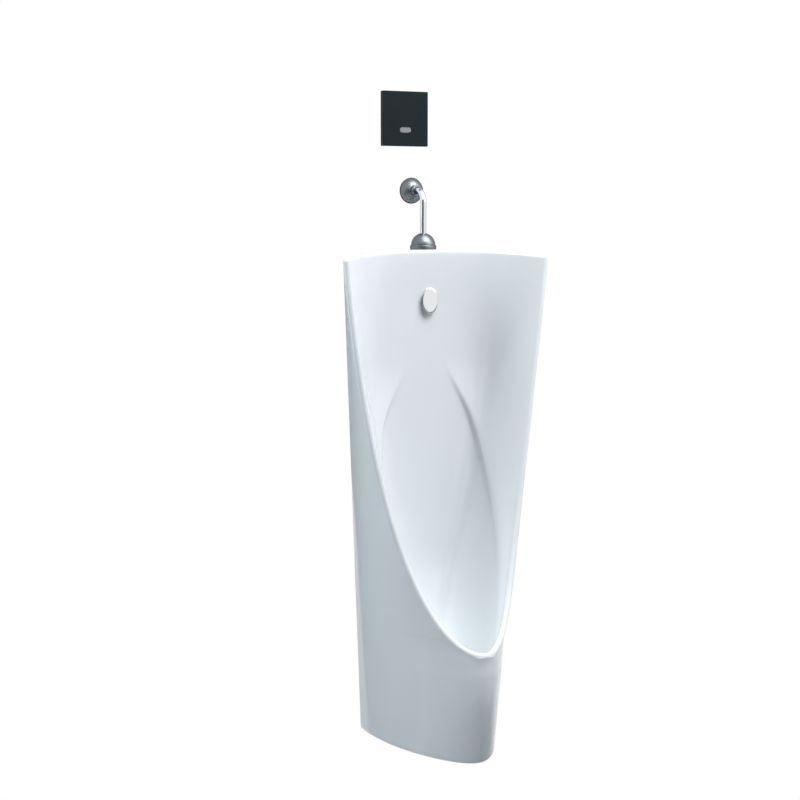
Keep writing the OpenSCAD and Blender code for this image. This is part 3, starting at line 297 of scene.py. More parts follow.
def white_ray_mask(nodes, links):
    """1 for rays that should see plain white: camera, glossy and transmission rays."""
    path = nodes.new("ShaderNodeLightPath")
    mask = path.outputs["Is Camera Ray"]
    for kind in ("Is Glossy Ray", "Is Transmission Ray"):
        either = nodes.new("ShaderNodeMath")
        either.operation = "MAXIMUM"
        links.new(mask, either.inputs[0])
        links.new(path.outputs[kind], either.inputs[1])
        mask = either.outputs[0]
    return mask


def make_world():
    """A faint light from all round, and plain white wherever the camera looks past."""
    world = bpy.data.worlds.new("studio")
    bpy.context.scene.world = world
    world.use_nodes = True
    nodes, links = world.node_tree.nodes, world.node_tree.links
    nodes.clear()
    blend = nodes.new("ShaderNodeMixShader")
    out = nodes.new("ShaderNodeOutputWorld")
    links.new(white_ray_mask(nodes, links), blend.inputs["Fac"])
    for slot, tint, strength in ((1, AMBIENT_TINT, AMBIENT), (2, WHITE, 1)):
        sky = nodes.new("ShaderNodeBackground")
        sky.inputs["Color"].default_value = rgba(tint)
        sky.inputs["Strength"].default_value = strength
        links.new(sky.outputs[0], blend.inputs[slot])
    links.new(blend.outputs[0], out.inputs["Surface"])


def painted(name, colour, roughness=0.5):
    """A plain material for something on the stage."""
    paint = bpy.data.materials.new(name)
    paint.use_nodes = True
    shader = paint.node_tree.nodes["Principled BSDF"]
    shader.inputs["Base Color"].default_value = rgba(colour)
    shader.inputs["Roughness"].default_value = roughness
    return paint


def wall_plaster():
    """Matt plaster, plain white to the camera and to gloss, and clear from behind."""
    plaster = bpy.data.materials.new("wall_plaster")
    plaster.use_nodes = True
    nodes, links = plaster.node_tree.nodes, plaster.node_tree.links
    nodes.clear()
    matt = nodes.new("ShaderNodeBsdfDiffuse")
    matt.inputs["Color"].default_value = rgba(PLASTER)
    glow = nodes.new("ShaderNodeEmission")
    glow.inputs["Color"].default_value = rgba(WHITE)
    glow.inputs["Strength"].default_value = 1
    clear = nodes.new("ShaderNodeBsdfTransparent")
    side = nodes.new("ShaderNodeNewGeometry")
    front = nodes.new("ShaderNodeMixShader")
    both = nodes.new("ShaderNodeMixShader")
    out = nodes.new("ShaderNodeOutputMaterial")
    links.new(white_ray_mask(nodes, links), front.inputs["Fac"])
    links.new(matt.outputs[0], front.inputs[1])
    links.new(glow.outputs[0], front.inputs[2])
    links.new(side.outputs["Backfacing"], both.inputs["Fac"])
    links.new(front.outputs[0], both.inputs[1])
    links.new(clear.outputs[0], both.inputs[2])
    links.new(both.outputs[0], out.inputs["Surface"])
    return plaster


def sheet(name, place, turn, size, material):
    """A flat rectangle of the stage."""
    deselect_all()
    bpy.ops.mesh.primitive_plane_add(size=1, location=place, rotation=turn)
    flat = named(name)
    flat.scale = (*size, 1)
    apply_place(flat)
    flat.data.materials.append(material)
    return flat


def card(name, place, turn, size, cloth, roughness=0.5):
    """A cloth card that shades the piece or shows in its gloss, unseen by the camera."""
    flat = sheet(name, place, turn, size, painted(name + "_cloth", cloth, roughness))
    flat.visible_camera = False
    return flat


def far_card(name, angle, width):
    """A tall black card that faces the piece from afar, for the dark bands in the chrome."""
    turn = math.radians(angle)
    place = (-CARD_DISTANCE * math.sin(turn), -CARD_DISTANCE * math.cos(turn), CARD_MIDDLE)
    return card(name, place, (math.pi / 2, 0, -turn), (width, CARD_HEIGHT), BLACK_CLOTH, 0.95)


def make_cards():
    """Two black cards in front, and small ones at the flank, the top and the nose."""
    left, front = far_card("card_left", 47, 3.2), far_card("card_front", 12, 1.2)
    flank = card("card_flank", (-0.52, -0.003, 0.35), UPRIGHT, (0.78, 1.25), PALE_CLOTH)
    shelf = card("card_shelf", (0, -0.031, 0.935), LEVEL, (0.46, 0.058), PALE_CLOTH)
    nose = card("card_nose", (0.1, -0.52, 0.16), LEVEL, (0.9, 0.32), DARK_CLOTH)
    flank.visible_diffuse = flank.visible_shadow = False
    shelf.visible_glossy = nose.visible_glossy = False
    return [left, front, flank, shelf, nose]


def make_stage():
    """A pale floor, the wall that the piece hangs on, and the cards."""
    low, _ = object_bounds()
    floor_height = low.z - FLOOR_DROP
    floor = sheet("floor", (0, 0, floor_height), LEVEL, (FLOOR_SIZE, FLOOR_SIZE),
                  painted("floor_paint", FLOOR_PAINT, 0.6))
    wall = sheet("wall", (0, WALL_GAP, WALL_MIDDLE), UPRIGHT,
                 (WALL_WIDTH, 2 * (WALL_MIDDLE - floor_height)), wall_plaster())
    cards = make_cards()


# The ceramic's own sizes, in millimetres, from the same rules as its solid

BODY_H = 938.0  # height at the middle of the top
CROWN_H = 12.0  # drop of the top from its middle to the wing tips
FLANK_DROP = 5.0  # its further drop from the tips to the wall
WING_W = 420.0  # width between the wing tips
WING_D = 157.0  # distance of the tips from the wall
DISH_D = 79.0  # distance of the front face from the wall, at the middle of the top
BACK_D = 57.0  # least distance of the bowl's back from the wall
WALL_W_TOP = 290.0  # width against the wall at the top
WALL_W_FOOT = 220.0  # and at the foot
LIP_H = 213.0  # height of the lip above the foot
LIP_D = 302.0  # distance of the lip from the wall
LIP_SET = 0.75  # how far inside the lip the skin ends
NOSE_D = 280.0  # distance of the nose from the wall at the foot
FLOOR_H = 150.0  # height of the bowl's floor above the foot
CHINA_T = 11.0  # thickness of the china
RIM_T = 12.0  # thickness of the rolled rim
EDGE_R = 5.0  # radius on the top edge
FOOT_R = 8.0  # radius on the foot's edge
STEP_H = 9.0  # height of the soft step round the scoop
OUTLET_H = 72.0  # height of the waste outlet above the foot
WASTE_D = 165.0  # distance of the waste from the wall
FLANGE_T = 3.0  # thickness of the waste flange
WASHER_T = 2.0  # thickness of the rubber washer under it

FOOT_Z = -OUTLET_H
TOP_Z = FOOT_Z + BODY_H
TIP_Z = TOP_Z - CROWN_H - EDGE_R
FLOOR_Z = FOOT_Z + FLOOR_H
EDGE_Z = FOOT_Z + LIP_H

# Angles in degrees: the flank's at the tip and at the lip, and the skin's at the wall
TIP_TURN, LIP_TURN = -23.0, 90.0
SKIN_TURN_FOOT, SKIN_TURN_TOP = 7.0, 22.0
# Reach of a level row's curve at the nose, at the foot and at the lip
NOSE_HANDLE_FOOT, NOSE_HANDLE_LIP = 50.0, 63.0
# Lean of the rim's roll, depth of the valley under it, and the crease's apex along the rim
RIM_LEAN, VALLEY_D, APEX_W = 0.12, 30.0, 0.21

# How many rows and steps the sheets have, and where the bowl's back first leaves the valley
ROWS = 150
SKIRT_ROWS = 30
FOOT_ROWS = 6
BOWL_STEPS = 72
ROLL_STEPS = 10
FLANK_STEPS = 36
WALL_STEPS = BOWL_STEPS - ROLL_STEPS - FLANK_STEPS
BACK_STEPS = WALL_STEPS + FLANK_STEPS
EDGE_STEPS = 6
TOP_STEPS = 3
FIRST_BACK = 0.12

# The skin that is blended under the lip: its reach, and its distance from the rim
BLEND_T = 7.0
BLEND_X, BLEND_Y = 110.0, -150.0
BLEND_LOW, BLEND_HIGH = EDGE_Z - 36, EDGE_Z + 22
RIM_CLEAR, RIM_CLEAR_SLOPE = 1.5, 0.12
BLEND_ROUNDS = 24

# What joins the shell at the back and below, and its holes
SEAT_Z = FLOOR_Z - FLANGE_T - WASHER_T
BOSS_Z = SEAT_Z - CHINA_T
BOSS_R, FLANGE_SEAT_R, WASTE_HOLE_R = 38.0, 33.0, 22.0
CHAMBER_LOW = FOOT_Z + 812
CHAMBER_HALF, CHAMBER_T = 25.0, 8.0
SPREADER_Y, SPREADER_Z = -71.0, FOOT_Z + 842
SPREADER_HOLE_R, SPREADER_SEAT_R = 11.0, 15.0
RIB_Z = TIP_Z - 41
WEB_H, WEB_FRONT, WEB_BACK = 16.0, -18.0, -8.0
LOWER_X, LOWER_H = 82.0, 112.0
LOWER_Z = FOOT_Z + LOWER_H
LUG_T, LUG_HALF, LUG_HOLE_R = 12.0, 12.0, 5.0
SPUD_HOLE_R = 14.0

# The flush pipe and its domes
PIPE_D, PIPE_R, BEND_R = 50.0, 6.0, 23.0
PIPE_Z = TOP_Z + 111
WALL_DOME_D = 22.0
TRIM_T = 1.2

CHINA_WHITE, CHINA_CLOUD = (0.785, 0.815, 0.843), (0.767, 0.80, 0.829)


def sind(angle):
    return np.sin(np.radians(angle))


def cosd(angle):
    return np.cos(np.radians(angle))


def mix(a, b, t):
    """From a (t = 0) to b (t = 1), in a straight line."""
    return a + (b - a) * t


def smooth(a, b, x):
    """From 0 to 1 as x goes from a to b, with soft ends."""
    t = np.clip((x - a) / (b - a), 0, 1)
    return t * t * (3 - 2 * t)


def vec(x, y, z):
    """Points from their three coordinates, which may be arrays."""
    return np.stack(np.broadcast_arrays(
        np.asarray(x, float), np.asarray(y, float), np.asarray(z, float)), -1)


def length(v):
    return np.linalg.norm(v, axis=-1)


def unit(v):
    return v / np.maximum(length(v), 1e-12)[..., None]


def bezier(p, t):
    """Points on the curve with four control points."""
    t = np.asarray(t)[..., None]
    return ((1 - t) ** 3 * p[0] + 3 * t * (1 - t) ** 2 * p[1]
            + 3 * t * t * (1 - t) * p[2] + t ** 3 * p[3])


# The rim on the right-hand side, from the wing's tip (w = 0) to the lip (w = 1)

def rim_u(w):
    """Share of the half-width that the rim has at w."""
    return 1 - np.power(w, 1.4)


def rim_t_of(u):
    """Share of the climb from the lip to the tip that the rim has at u."""
    return 1 - np.power(1 - np.power(np.maximum(u, 0), 2.17), 0.855)


def rim_at(w):
    """Top of the rim's roll."""
    u = rim_u(w)
    reach = np.power(np.maximum(sind(90 * u), 0), 1.5)
    return vec(WING_W / 2 * u,
               RIM_T / 2 - LIP_D + (LIP_D - RIM_T / 2 - WING_D) * reach,
               mix(EDGE_Z, TIP_Z, rim_t_of(u)))


def rim_tangent(w):
    """Direction along the rim, level at the lip."""
    along = unit(rim_at(np.maximum(w - 0.01, 0)) - rim_at(np.minimum(w + 0.01, 1)))
    return np.where((w > 0.999)[..., None], np.array([1.0, 0, 0]), along)


def rim_turn(w):
    """Angle of the flank at the rim: flared at the top, closed at the lip."""
    return mix(TIP_TURN, LIP_TURN, np.power(1 - np.sqrt(rim_t_of(rim_u(w))), 1.5))


def rim_in(w):
    """Direction across the rim, into the bowl."""
    b = rim_turn(w)
    raw = vec(-cosd(b), sind(b), RIM_LEAN)
    t = rim_tangent(w)
    return unit(raw - (raw * t).sum(-1)[..., None] * t)


def rim_out(w):
    """Direction off the rim, square to the other two."""
    return unit(np.cross(rim_tangent(w), rim_in(w)))


def roll_centre(w):
    """Middle of the rim's roll."""
    return rim_at(w) - RIM_T / 2 * rim_out(w)


def roll_at(w, a):
    """A point on the roll, at an angle from its top."""
    a = np.broadcast_to(a, np.shape(w))
    return roll_centre(w) + RIM_T / 2 * (
        cosd(a)[..., None] * rim_out(w) + sind(a)[..., None] * rim_in(w))


def valley_at(w):
    """Where the two inner walls meet behind the rim."""
    return roll_centre(w) - VALLEY_D * rim_out(w) + (CHINA_T - RIM_T / 2) * rim_in(w)


# The bowl

def bowl_line():
    """Middle line of the bowl, as distance from the wall and height, from top to lip."""
    rise = TOP_Z - FLOOR_Z
    return np.array([
        [DISH_D, TOP_Z - EDGE_R],
        [mix(BACK_D, DISH_D, 0.66), FLOOR_Z + 0.877 * rise],
        [mix(BACK_D, DISH_D, 0.38), FLOOR_Z + 0.740 * rise],
        [mix(BACK_D, DISH_D, 0.16), FLOOR_Z + 0.600 * rise],
        [mix(BACK_D, DISH_D, 0.04), FLOOR_Z + 0.460 * rise],
        [BACK_D, FLOOR_Z + 0.322 * rise],
        [BACK_D + 3, FLOOR_Z + 0.195 * rise],
        [mix(BACK_D, WASTE_D, 0.24), FLOOR_Z + 0.080 * rise],
        [WASTE_D - 27, FLOOR_Z + 1],
        [mix(WASTE_D, LIP_D, 0.44), FLOOR_Z + 10],
        [LIP_D - RIM_T - 1, EDGE_Z - RIM_T / 2],
    ])


def spline(points, t):
    """A smooth curve through points, at t from 0 to 1."""
    n = len(points) - 1
    ends = np.vstack([2 * points[0] - points[1], points, 2 * points[n] - points[n - 1]])
    i = np.minimum(np.floor(t * n).astype(int), n - 1)
    f = (t * n - i)[..., None]
    a, b, c, d = ends[i], ends[i + 1], ends[i + 2], ends[i + 3]
    return 0.5 * (2 * b + (c - a) * f + (2 * a - 5 * b + 4 * c - d) * f ** 2
                  + (3 * b - a - 3 * c + d) * f ** 3)


def line_at(w):
    """The bowl's middle line at w."""
    p = spline(bowl_line(), w)
    return vec(0, -p[..., 0], p[..., 1])


def bowl_dir(w):
    """Direction in which a row of the bowl leaves the rim."""
    k = 14 + 31 * np.power(1 - w, 2.5)
    d = 75 * np.power(w, 2.5)
    return vec(-sind(k) * cosd(d), cosd(k) * cosd(d), -sind(d))


def bowl_base(w, q):
    """A row of the bowl, from the rim (q = 0) to the middle line (q = 1)."""
    w, q = np.broadcast_arrays(w, q)
    a = roll_at(w, 90)
    m = np.where((w > 0.999)[..., None], a, line_at(w))
    s = length(a - m)
    first = mix(0.34, 0.52, smooth(0, 0.35, w)) * s
    last = mix(0.45, 0.80, smooth(0, 0.35, w)) * a[..., 0]
    rise = 2 / 3 * (m[..., 2] - a[..., 2]) * (1 - smooth(0, 0.3, w))
    return bezier([a, a + first[..., None] * bowl_dir(w) + vec(0, 0, rise),
                   m + vec(last, 0, 0), m], q)


def bowl_normal(w, q):
    """Direction square to the bowl, into the room."""
    w, q = np.broadcast_arrays(w, q)
    w0, w1 = np.maximum(w - 0.005, 0), np.minimum(w + 0.005, 0.995)
    q0, q1 = np.maximum(q - 0.01, 0), np.minimum(q + 0.01, 1)
    v = np.cross(bowl_base(w, q1) - bowl_base(w, q0), bowl_base(w1, q) - bowl_base(w0, q))
    return np.where((length(v) < 1e-4)[..., None], np.array([0.0, -1, 0]), unit(v))


def arch_q(w):
    """Where the scoop's crease crosses a row."""
    return 0.075 + 0.8 * np.exp(-np.power(np.maximum(w - APEX_W, 0) / 0.2, 1.5))


def crease_half(w, s):
    """Half the width of the scoop's crease, as a share of a row."""
    return np.minimum(mix(2.5, 9.0, smooth(0.2, 0.42, w)) / s, 0.45 * arch_q(w))


def row_size(w):
    """Straight length of a row, from the rim to the middle line."""
    return length(roll_at(w, 90) - line_at(np.minimum(w, 0.999)))


def shoulder(w, q):
    """Height of the raised shoulder round the scoop."""
    w, q = np.broadcast_arrays(w, q)
    c, s = arch_q(w), row_size(w)
    band = crease_half(w, s)
    height = STEP_H * (1 - np.exp(-0.25 * c * s / STEP_H))
    height = height * smooth(0.2, 0.36, w) * (1 - smooth(0.55, 0.95, w))
    return height * smooth(0, c - band, q) * (1 - smooth(c - band, c + band, q))


def bowl_at(w, q):
    """The bowl with the raised shoulder."""
    return bowl_base(w, q) + shoulder(w, q)[..., None] * bowl_normal(w, q)


def back_at(w, q):
    """The bowl's back, one thickness behind it, from the valley on."""
    w, q = np.broadcast_arrays(w, q)
    s = FIRST_BACK + (1 - FIRST_BACK) * q
    p = bowl_base(w, s) - CHINA_T * bowl_normal(w, s)
    return np.where(((w > 0.999) | (q <= 0))[..., None], valley_at(w), p)


# The outer skin, in level sections from the wall to the rim or the nose

def wall_half(z, inset):
    """Half the width of the skin against the wall."""
    return mix(WALL_W_FOOT, WALL_W_TOP, (z - FOOT_Z) / BODY_H) / 2 - inset


def nose_at(z, inset):
    """Distance of the nose from the wall."""
    climb = np.power(np.maximum(z - FOOT_Z, 0) / (LIP_H - RIM_T / 2), 1.2)
    return NOSE_D + (LIP_D - LIP_SET - NOSE_D) * climb - inset


def skin_row(z, finish, turn, handle, inset):
    """Control points of a level row, from the wall to its finish."""
    a = vec(wall_half(z, inset), 0, z)
    up = (z - FOOT_Z) / BODY_H
    g = mix(SKIN_TURN_FOOT, SKIN_TURN_TOP, up)
    s = length(finish - a)
    b = a + (mix(0.43, 0.38, up) * s)[..., None] * vec(sind(g), -cosd(g), 0)
    c = finish + np.minimum(handle, 0.4 * s)[..., None] * vec(sind(turn), cosd(turn), 0)
    return [a, b, c, finish]


def nose_row(z, inset):
    """Control points of a row that ends at the nose."""
    z = np.asarray(z, float)
    climb = np.power(np.clip((z - FOOT_Z) / LIP_H, 0, 1), 0.9)
    handle = mix(NOSE_HANDLE_FOOT, NOSE_HANDLE_LIP, climb)
    tip = vec(0, -nose_at(z, inset), z)
    return skin_row(z, tip, np.full(z.shape, 90.0), handle - inset / 2, inset)


def cut_at(row, x):
    """How far along a nose row its half-width comes down to x."""
    low, high = np.full(x.shape, 0.3), np.full(x.shape, 1.0)
    for _ in range(22):
        middle = (low + high) / 2
        wide = bezier(row, middle)[..., 0] > x
        low, high = np.where(wide, middle, low), np.where(wide, high, middle)
    return (low + high) / 2


def side_at(w, q, finish, inset):
    """A row of the flank: a cut nose row near the lip, and a row of its own higher up."""
    z = finish[..., 2]
    climb = rim_t_of(rim_u(w))
    handle = length(finish - vec(wall_half(z, inset), 0, z))
    handle = handle * (0.2 + 0.16 * smooth(0.1, 0.4, climb))
    own = bezier(skin_row(z, finish, rim_turn(w), handle, inset), q)
    nose = nose_row(z, inset)
    share = cut_at(nose, finish[..., 0])
    gap = finish - bezier(nose, share)
    low = bezier(nose, share * q) + gap * (q ** 3)[..., None]
    return mix(low, own, smooth(0.01, 0.18, climb)[..., None])


def flank_at(w, q):
    """The outer flank, from the wall (q = 0) to the rim."""
    w, q = np.broadcast_arrays(w, q)
    drop = FLANK_DROP * (1 - q) * (1 - smooth(0, 0.15, w))
    return side_at(w, q, roll_at(w, -90), 0.0) - vec(0, 0, drop)


def inner_flank_at(w, q):
    """The inner flank, from the wall (q = 0) to the valley."""
    w, q = np.broadcast_arrays(w, q)
    return side_at(w, q, valley_at(w), CHINA_T)


# Sheets of points: rows from the left wall line over the bowl to the right wall line

def whole(half):
    """A half row and its mirror image, as one row."""
    left = half[..., :0:-1, :] * np.array([-1.0, 1, 1])
    return np.concatenate([left, half], axis=-2)


def bowl_spread(w):
    """Places along a row, drawn closer together round the crease."""
    even = np.linspace(1, 0, BOWL_STEPS + 1)[None, :]
    c = arch_q(w)
    pull = 0.55 * smooth(APEX_W, APEX_W + 0.1, w) * smooth(0.0, 0.3, c)
    near = np.exp(-((even - c) / 0.09) ** 2)
    return even + pull * near * (c - even)


def outer_rows(w):
    """Rows of the bowl, the rim and the flank."""
    w = w[:, None]
    turn = np.linspace(90, -90, ROLL_STEPS + 1)[None, 1:-1]
    flank = np.linspace(1, 0, FLANK_STEPS + 1)[None, :]
    return whole(np.concatenate([
        bowl_at(w, bowl_spread(w)),
        roll_at(w + 0 * turn, turn + 0 * w),
        flank_at(w, flank)], axis=1))


def inner_rows(w):
    """Rows of the bowl's back and the inner flank."""
    w = w[:, None]
    back = np.linspace(1, 0, BACK_STEPS + 1)[None, :]
    flank = np.linspace(1, 0, FLANK_STEPS + 1)[None, 1:]
    return whole(np.concatenate([back_at(w, back), inner_flank_at(w, flank)], axis=1))


def skirt_rows(heights, insets):
    """Level rows from wall to wall round the nose."""
    side = np.linspace(1, 0, FLANK_STEPS + 1)
    return whole(np.stack([
        bezier(nose_row(np.full(side.shape, z), inset), side)
        for z, inset in zip(heights, insets)]))


def joined_skirt(heights, insets, above):
    """Skirt rows, the first of which takes the points of the row above it."""
    skirt = skirt_rows(heights, insets)
    skirt[0, :FLANK_STEPS + 1] = above[:FLANK_STEPS + 1]
    skirt[0, FLANK_STEPS:] = above[-(FLANK_STEPS + 1):]
    return skirt


def edge_normal(row):
    """Level normals of the top row, towards the inside of the shape."""
    d = np.zeros_like(row)
    d[1:-1] = row[2:] - row[:-2]
    d[0], d[-1] = row[1] - row[0], row[-1] - row[-2]
    n = vec(-d[:, 1], d[:, 0], 0 * d[:, 0])
    flat = length(n) < 0.001
    n = np.where(flat[:, None], np.array([0.0, 1, 0]), unit(n))
    n[0], n[-1] = (1, 0, 0), (-1, 0, 0)
    return n


def edge_rows(row):
    """The rounded top edge: the top row moved in and up step by step."""
    angles = np.linspace(90, 0, EDGE_STEPS + 1)[:-1]
    normal = edge_normal(row)
    return np.stack([
        row + EDGE_R * (1 - cosd(a)) * normal + np.array([0, 0, EDGE_R * sind(a)])
        for a in angles])


def top_line(corner, middle_z):
    """Where the top meets the wall, from its middle to its corner."""
    f = np.arange(WALL_STEPS) / WALL_STEPS
    return vec(corner[0] * f, 0, mix(middle_z, corner[2], f ** 3))


def top_sheet(row, first, middle_z, across):
    """The top or its underside, between the front edge and the wall line and flank."""
    half = row[(len(row) - 1) // 2:]
    far = np.concatenate([top_line(half[-1], middle_z), half[:first - 1:-1]])
    near = half[:len(far)]
    t = np.linspace(0, 1, across + 1)[:, None, None]
    return whole(mix(near[None], far[None], t))


def wall_edge(top):
    """The part of a top sheet's last row that lies against the wall."""
    centre = (top.shape[1] - 1) // 2
    return top[-1, centre - WALL_STEPS:centre + WALL_STEPS + 1]


def sheet_object(name, points):
    """A grid whose points are laid on a sheet, given in millimetres."""
    rows, columns = points.shape[:2]
    deselect_all()
    bpy.ops.mesh.primitive_grid_add(x_subdivisions=columns - 1, y_subdivisions=rows - 1, size=1)
    obj = named(name)
    mesh = obj.data
    flat = np.zeros(len(mesh.vertices) * 3)
    mesh.vertices.foreach_get("co", flat)
    flat = flat.reshape(-1, 3)
    i = np.rint((flat[:, 1] + 0.5) * (rows - 1)).astype(int)
    j = np.rint((flat[:, 0] + 0.5) * (columns - 1)).astype(int)
    mesh.vertices.foreach_set("co", (points[i, j] * MM).ravel())
    mesh.update()
    return obj


def edge_strip(name, outer, inner):
    """A flat strip between two edges that have as many points."""
    t = np.linspace(0, 1, 3)[:, None, None]
    return sheet_object(name, mix(outer[None], inner[None], t))


def ceramic_sheets():
    """All the sheets that close the shell, each as a grid of points in millimetres."""
    w = np.linspace(0, 1, ROWS + 1)
    main = outer_rows(w)
    outer = np.concatenate([edge_rows(main[0]), main])

    lip = roll_at(np.array([1.0]), -90)[0, 2]
    low = FOOT_Z + FOOT_R
    turns = np.linspace(90 / FOOT_ROWS, 90, FOOT_ROWS)
    heights = np.concatenate([np.linspace(lip, low, SKIRT_ROWS), low - FOOT_R * sind(turns)])
    insets = np.concatenate([np.zeros(SKIRT_ROWS), FOOT_R * (1 - cosd(turns))])
    skirt = joined_skirt(heights, insets, main[-1])

    inner = inner_rows(w)[1:]
    rise = np.maximum(0, 1 - np.abs(inner[0, :, 0]) / (WING_W / 2))
    inner_top = inner[0].copy()
    inner_top[:, 2] = TIP_Z - CHINA_T + (TOP_Z - TIP_Z) * rise
    inner = np.concatenate([inner_top[None], inner])
    inner_low = valley_at(np.array([1.0]))[0, 2]
    count = len(heights)
    inner_skirt = joined_skirt(
        np.linspace(inner_low, FOOT_Z, count), [CHINA_T] * count, inner[-1])

    over = top_sheet(outer[0], BOWL_STEPS, TOP_Z, TOP_STEPS)
    under = top_sheet(inner[0], BACK_STEPS, TOP_Z - CHINA_T, TOP_STEPS)
    strips = [(skirt[-1], inner_skirt[-1]), (wall_edge(over), wall_edge(under))]
    for column in (0, -1):
        near = np.concatenate([outer[:, column], skirt[1:, column]])
        far = np.concatenate([inner[:, column], inner_skirt[1:, column]])
        extra = len(near) - len(far)
        strips.append((near, np.concatenate([np.repeat(far[:1], extra, axis=0), far])))
    return [outer, skirt, inner, inner_skirt, over, under], strips


def soften_under_rim(body):
    """Smooth the outer skin round the nose, where the flank's rows meet the skirt's."""
    mesh = body.data
    points = np.zeros(len(mesh.vertices) * 3)
    mesh.vertices.foreach_get("co", points)
    x, y, z = (points.reshape(-1, 3) / MM).T
    x = np.abs(x)
    rim_z = mix(EDGE_Z, TIP_Z, rim_t_of(np.clip(x * 2 / WING_W, 0, 1))) - RIM_T / 2
    row = nose_row(z, 0.0)
    skin_y = bezier(row, cut_at(row, x))[..., 1]
    on_skin = (np.abs(y - skin_y) < BLEND_T) & (x < BLEND_X) & (y < BLEND_Y)
    under_rim = z < rim_z - RIM_CLEAR - RIM_CLEAR_SLOPE * x
    chosen = on_skin & under_rim & (z > BLEND_LOW) & (z < BLEND_HIGH)
    for group in (mesh.polygons, mesh.edges):
        group.foreach_set("select", np.zeros(len(group), bool))
    mesh.vertices.foreach_set("select", chosen)
    edit(body, "VERT")
    bpy.ops.mesh.vertices_smooth(factor=0.5, repeat=BLEND_ROUNDS)
    done()


def at(x, y, z):
    """A point given in millimetres, in metres."""
    return (x * MM, y * MM, z * MM)


def standing(name, radius, y, low, high):
    """An upright cylinder on the middle plane, given in millimetres."""
    return cylinder(name, radius * MM, at(0, y, low), at(0, y, high))


def lying(name, radius, x, z, front, back):
    """A cylinder from front to back, given in millimetres."""
    return cylinder(name, radius * MM, at(x, front, z), at(x, back, z))


def shell_additions():
    """The waste's boss, the water chamber, and a web and a lug on each side."""
    web_out = float(wall_half(RIB_Z, CHINA_T - 2.5))
    lug_out = float(wall_half(LOWER_Z, CHINA_T - 4))
    adds = [
        standing("boss", BOSS_R, -WASTE_D, BOSS_Z, FLOOR_Z),
        block("chamber", at(-CHAMBER_HALF - CHAMBER_T, -DISH_D + 13, CHAMBER_LOW - 10),
              at(CHAMBER_HALF + CHAMBER_T, -12, TOP_Z - 5)),
    ]
    for side in (-1, 1):
        web = sorted((side * (CHAMBER_HALF + CHAMBER_T / 2), side * web_out))
        lug = sorted((side * (LOWER_X - LUG_HALF), side * lug_out))
        adds.append(block("web", at(web[0], WEB_FRONT, RIB_Z - WEB_H), at(web[1], WEB_BACK, RIB_Z)))
        adds.append(block("lug", at(lug[0], -LUG_T, LOWER_Z - LUG_HALF),
                          at(lug[1], 0, LOWER_Z + LUG_HALF)))
    for piece in adds[1:]:
        modifier(piece, "BEVEL", width=1.5 * MM, segments=2, limit_method="ANGLE")
    return merged("additions", adds)


def shell_hollows():
    """The holes and seats of the waste, the spreader, the spud and the lower screws."""
    cuts = [
        standing("flange_seat", FLANGE_SEAT_R, -WASTE_D, SEAT_Z, SEAT_Z + 60),
        standing("waste_hole", WASTE_HOLE_R, -WASTE_D, BOSS_Z - 20, BOSS_Z + 40),
        block("chamber_space", at(-CHAMBER_HALF, SPREADER_Y + 7, CHAMBER_LOW),
              at(CHAMBER_HALF, -20, TOP_Z - CHINA_T)),
        lying("spreader_hole", SPREADER_HOLE_R, 0, SPREADER_Z, SPREADER_Y - 30, SPREADER_Y + 8),
        lying("spreader_seat", SPREADER_SEAT_R, 0, SPREADER_Z, SPREADER_Y - 30, SPREADER_Y),
        standing("spud_hole", SPUD_HOLE_R, -PIPE_D, TOP_Z - 2 * CHINA_T, TOP_Z + 5),
    ]
    for side in (-1, 1):
        cuts.append(lying("lug_hole", LUG_HOLE_R, side * LOWER_X, LOWER_Z, -LUG_T - 1, 1))
    return merged("hollows", cuts)


def make_ceramic():
    """The shell, then what is joined to it behind and below, then its holes."""
    sheets, strips = ceramic_sheets()
    pieces = [sheet_object(f"sheet_{i}", points) for i, points in enumerate(sheets)]
    pieces += [edge_strip(f"strip_{i}", a, b) for i, (a, b) in enumerate(strips)]
    only(*pieces)
    bpy.ops.object.join()
    body = named("glazed_body")
    clean(body)
    soften_under_rim(body)
    cut(body, shell_additions(), operation="UNION")
    cut(body, shell_hollows())
    smooth_by_angle(body, 38)
    place(body, "fixed", "vitreous_china", "urinal_body")


# The bright trim

def make_flush_pipe():
    """A drawn tube: up from the spud, round the bend and into the wall."""
    low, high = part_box("flush_pipe")
    radius = (high.x - low.x) / 2
    pipe_y, top_z = low.y + radius, high.z - radius
    bend = BEND_R * MM
    deselect_all()
    bpy.ops.mesh.primitive_circle_add(vertices=64, radius=radius, location=(0, pipe_y, low.z))
    pipe = named("bright_pipe")
    apply_place(pipe)
    edit(pipe, "EDGE")
    bpy.ops.mesh.select_all(action="SELECT")
    bpy.ops.mesh.extrude_region_move(
        TRANSFORM_OT_translate={"value": (0, 0, top_z - bend - low.z)})
    bpy.ops.mesh.spin(steps=32, angle=math.pi / 2, center=(0, pipe_y + bend, top_z - bend),
                      axis=(1, 0, 0))
    bpy.ops.mesh.extrude_region_move(
        TRANSFORM_OT_translate={"value": (0, high.y - pipe_y - bend, 0)})
    done()
    clean(pipe)
    modifier(pipe, "SOLIDIFY", thickness=TRIM_T * MM, offset=-1)
    smooth_by_angle(pipe)
    place(pipe, "fixed", "chrome", "flush_pipe")


def closed_turn(name, profile, centre, axis="Z", sides=160):
    """A turned shell from a profile, in millimetres, that comes back to its first point."""
    obj = turned(name, [(r * MM, h * MM) for r, h in profile], centre, axis, sides)
    clean(obj)
    smooth_by_angle(obj, 40)
    return obj


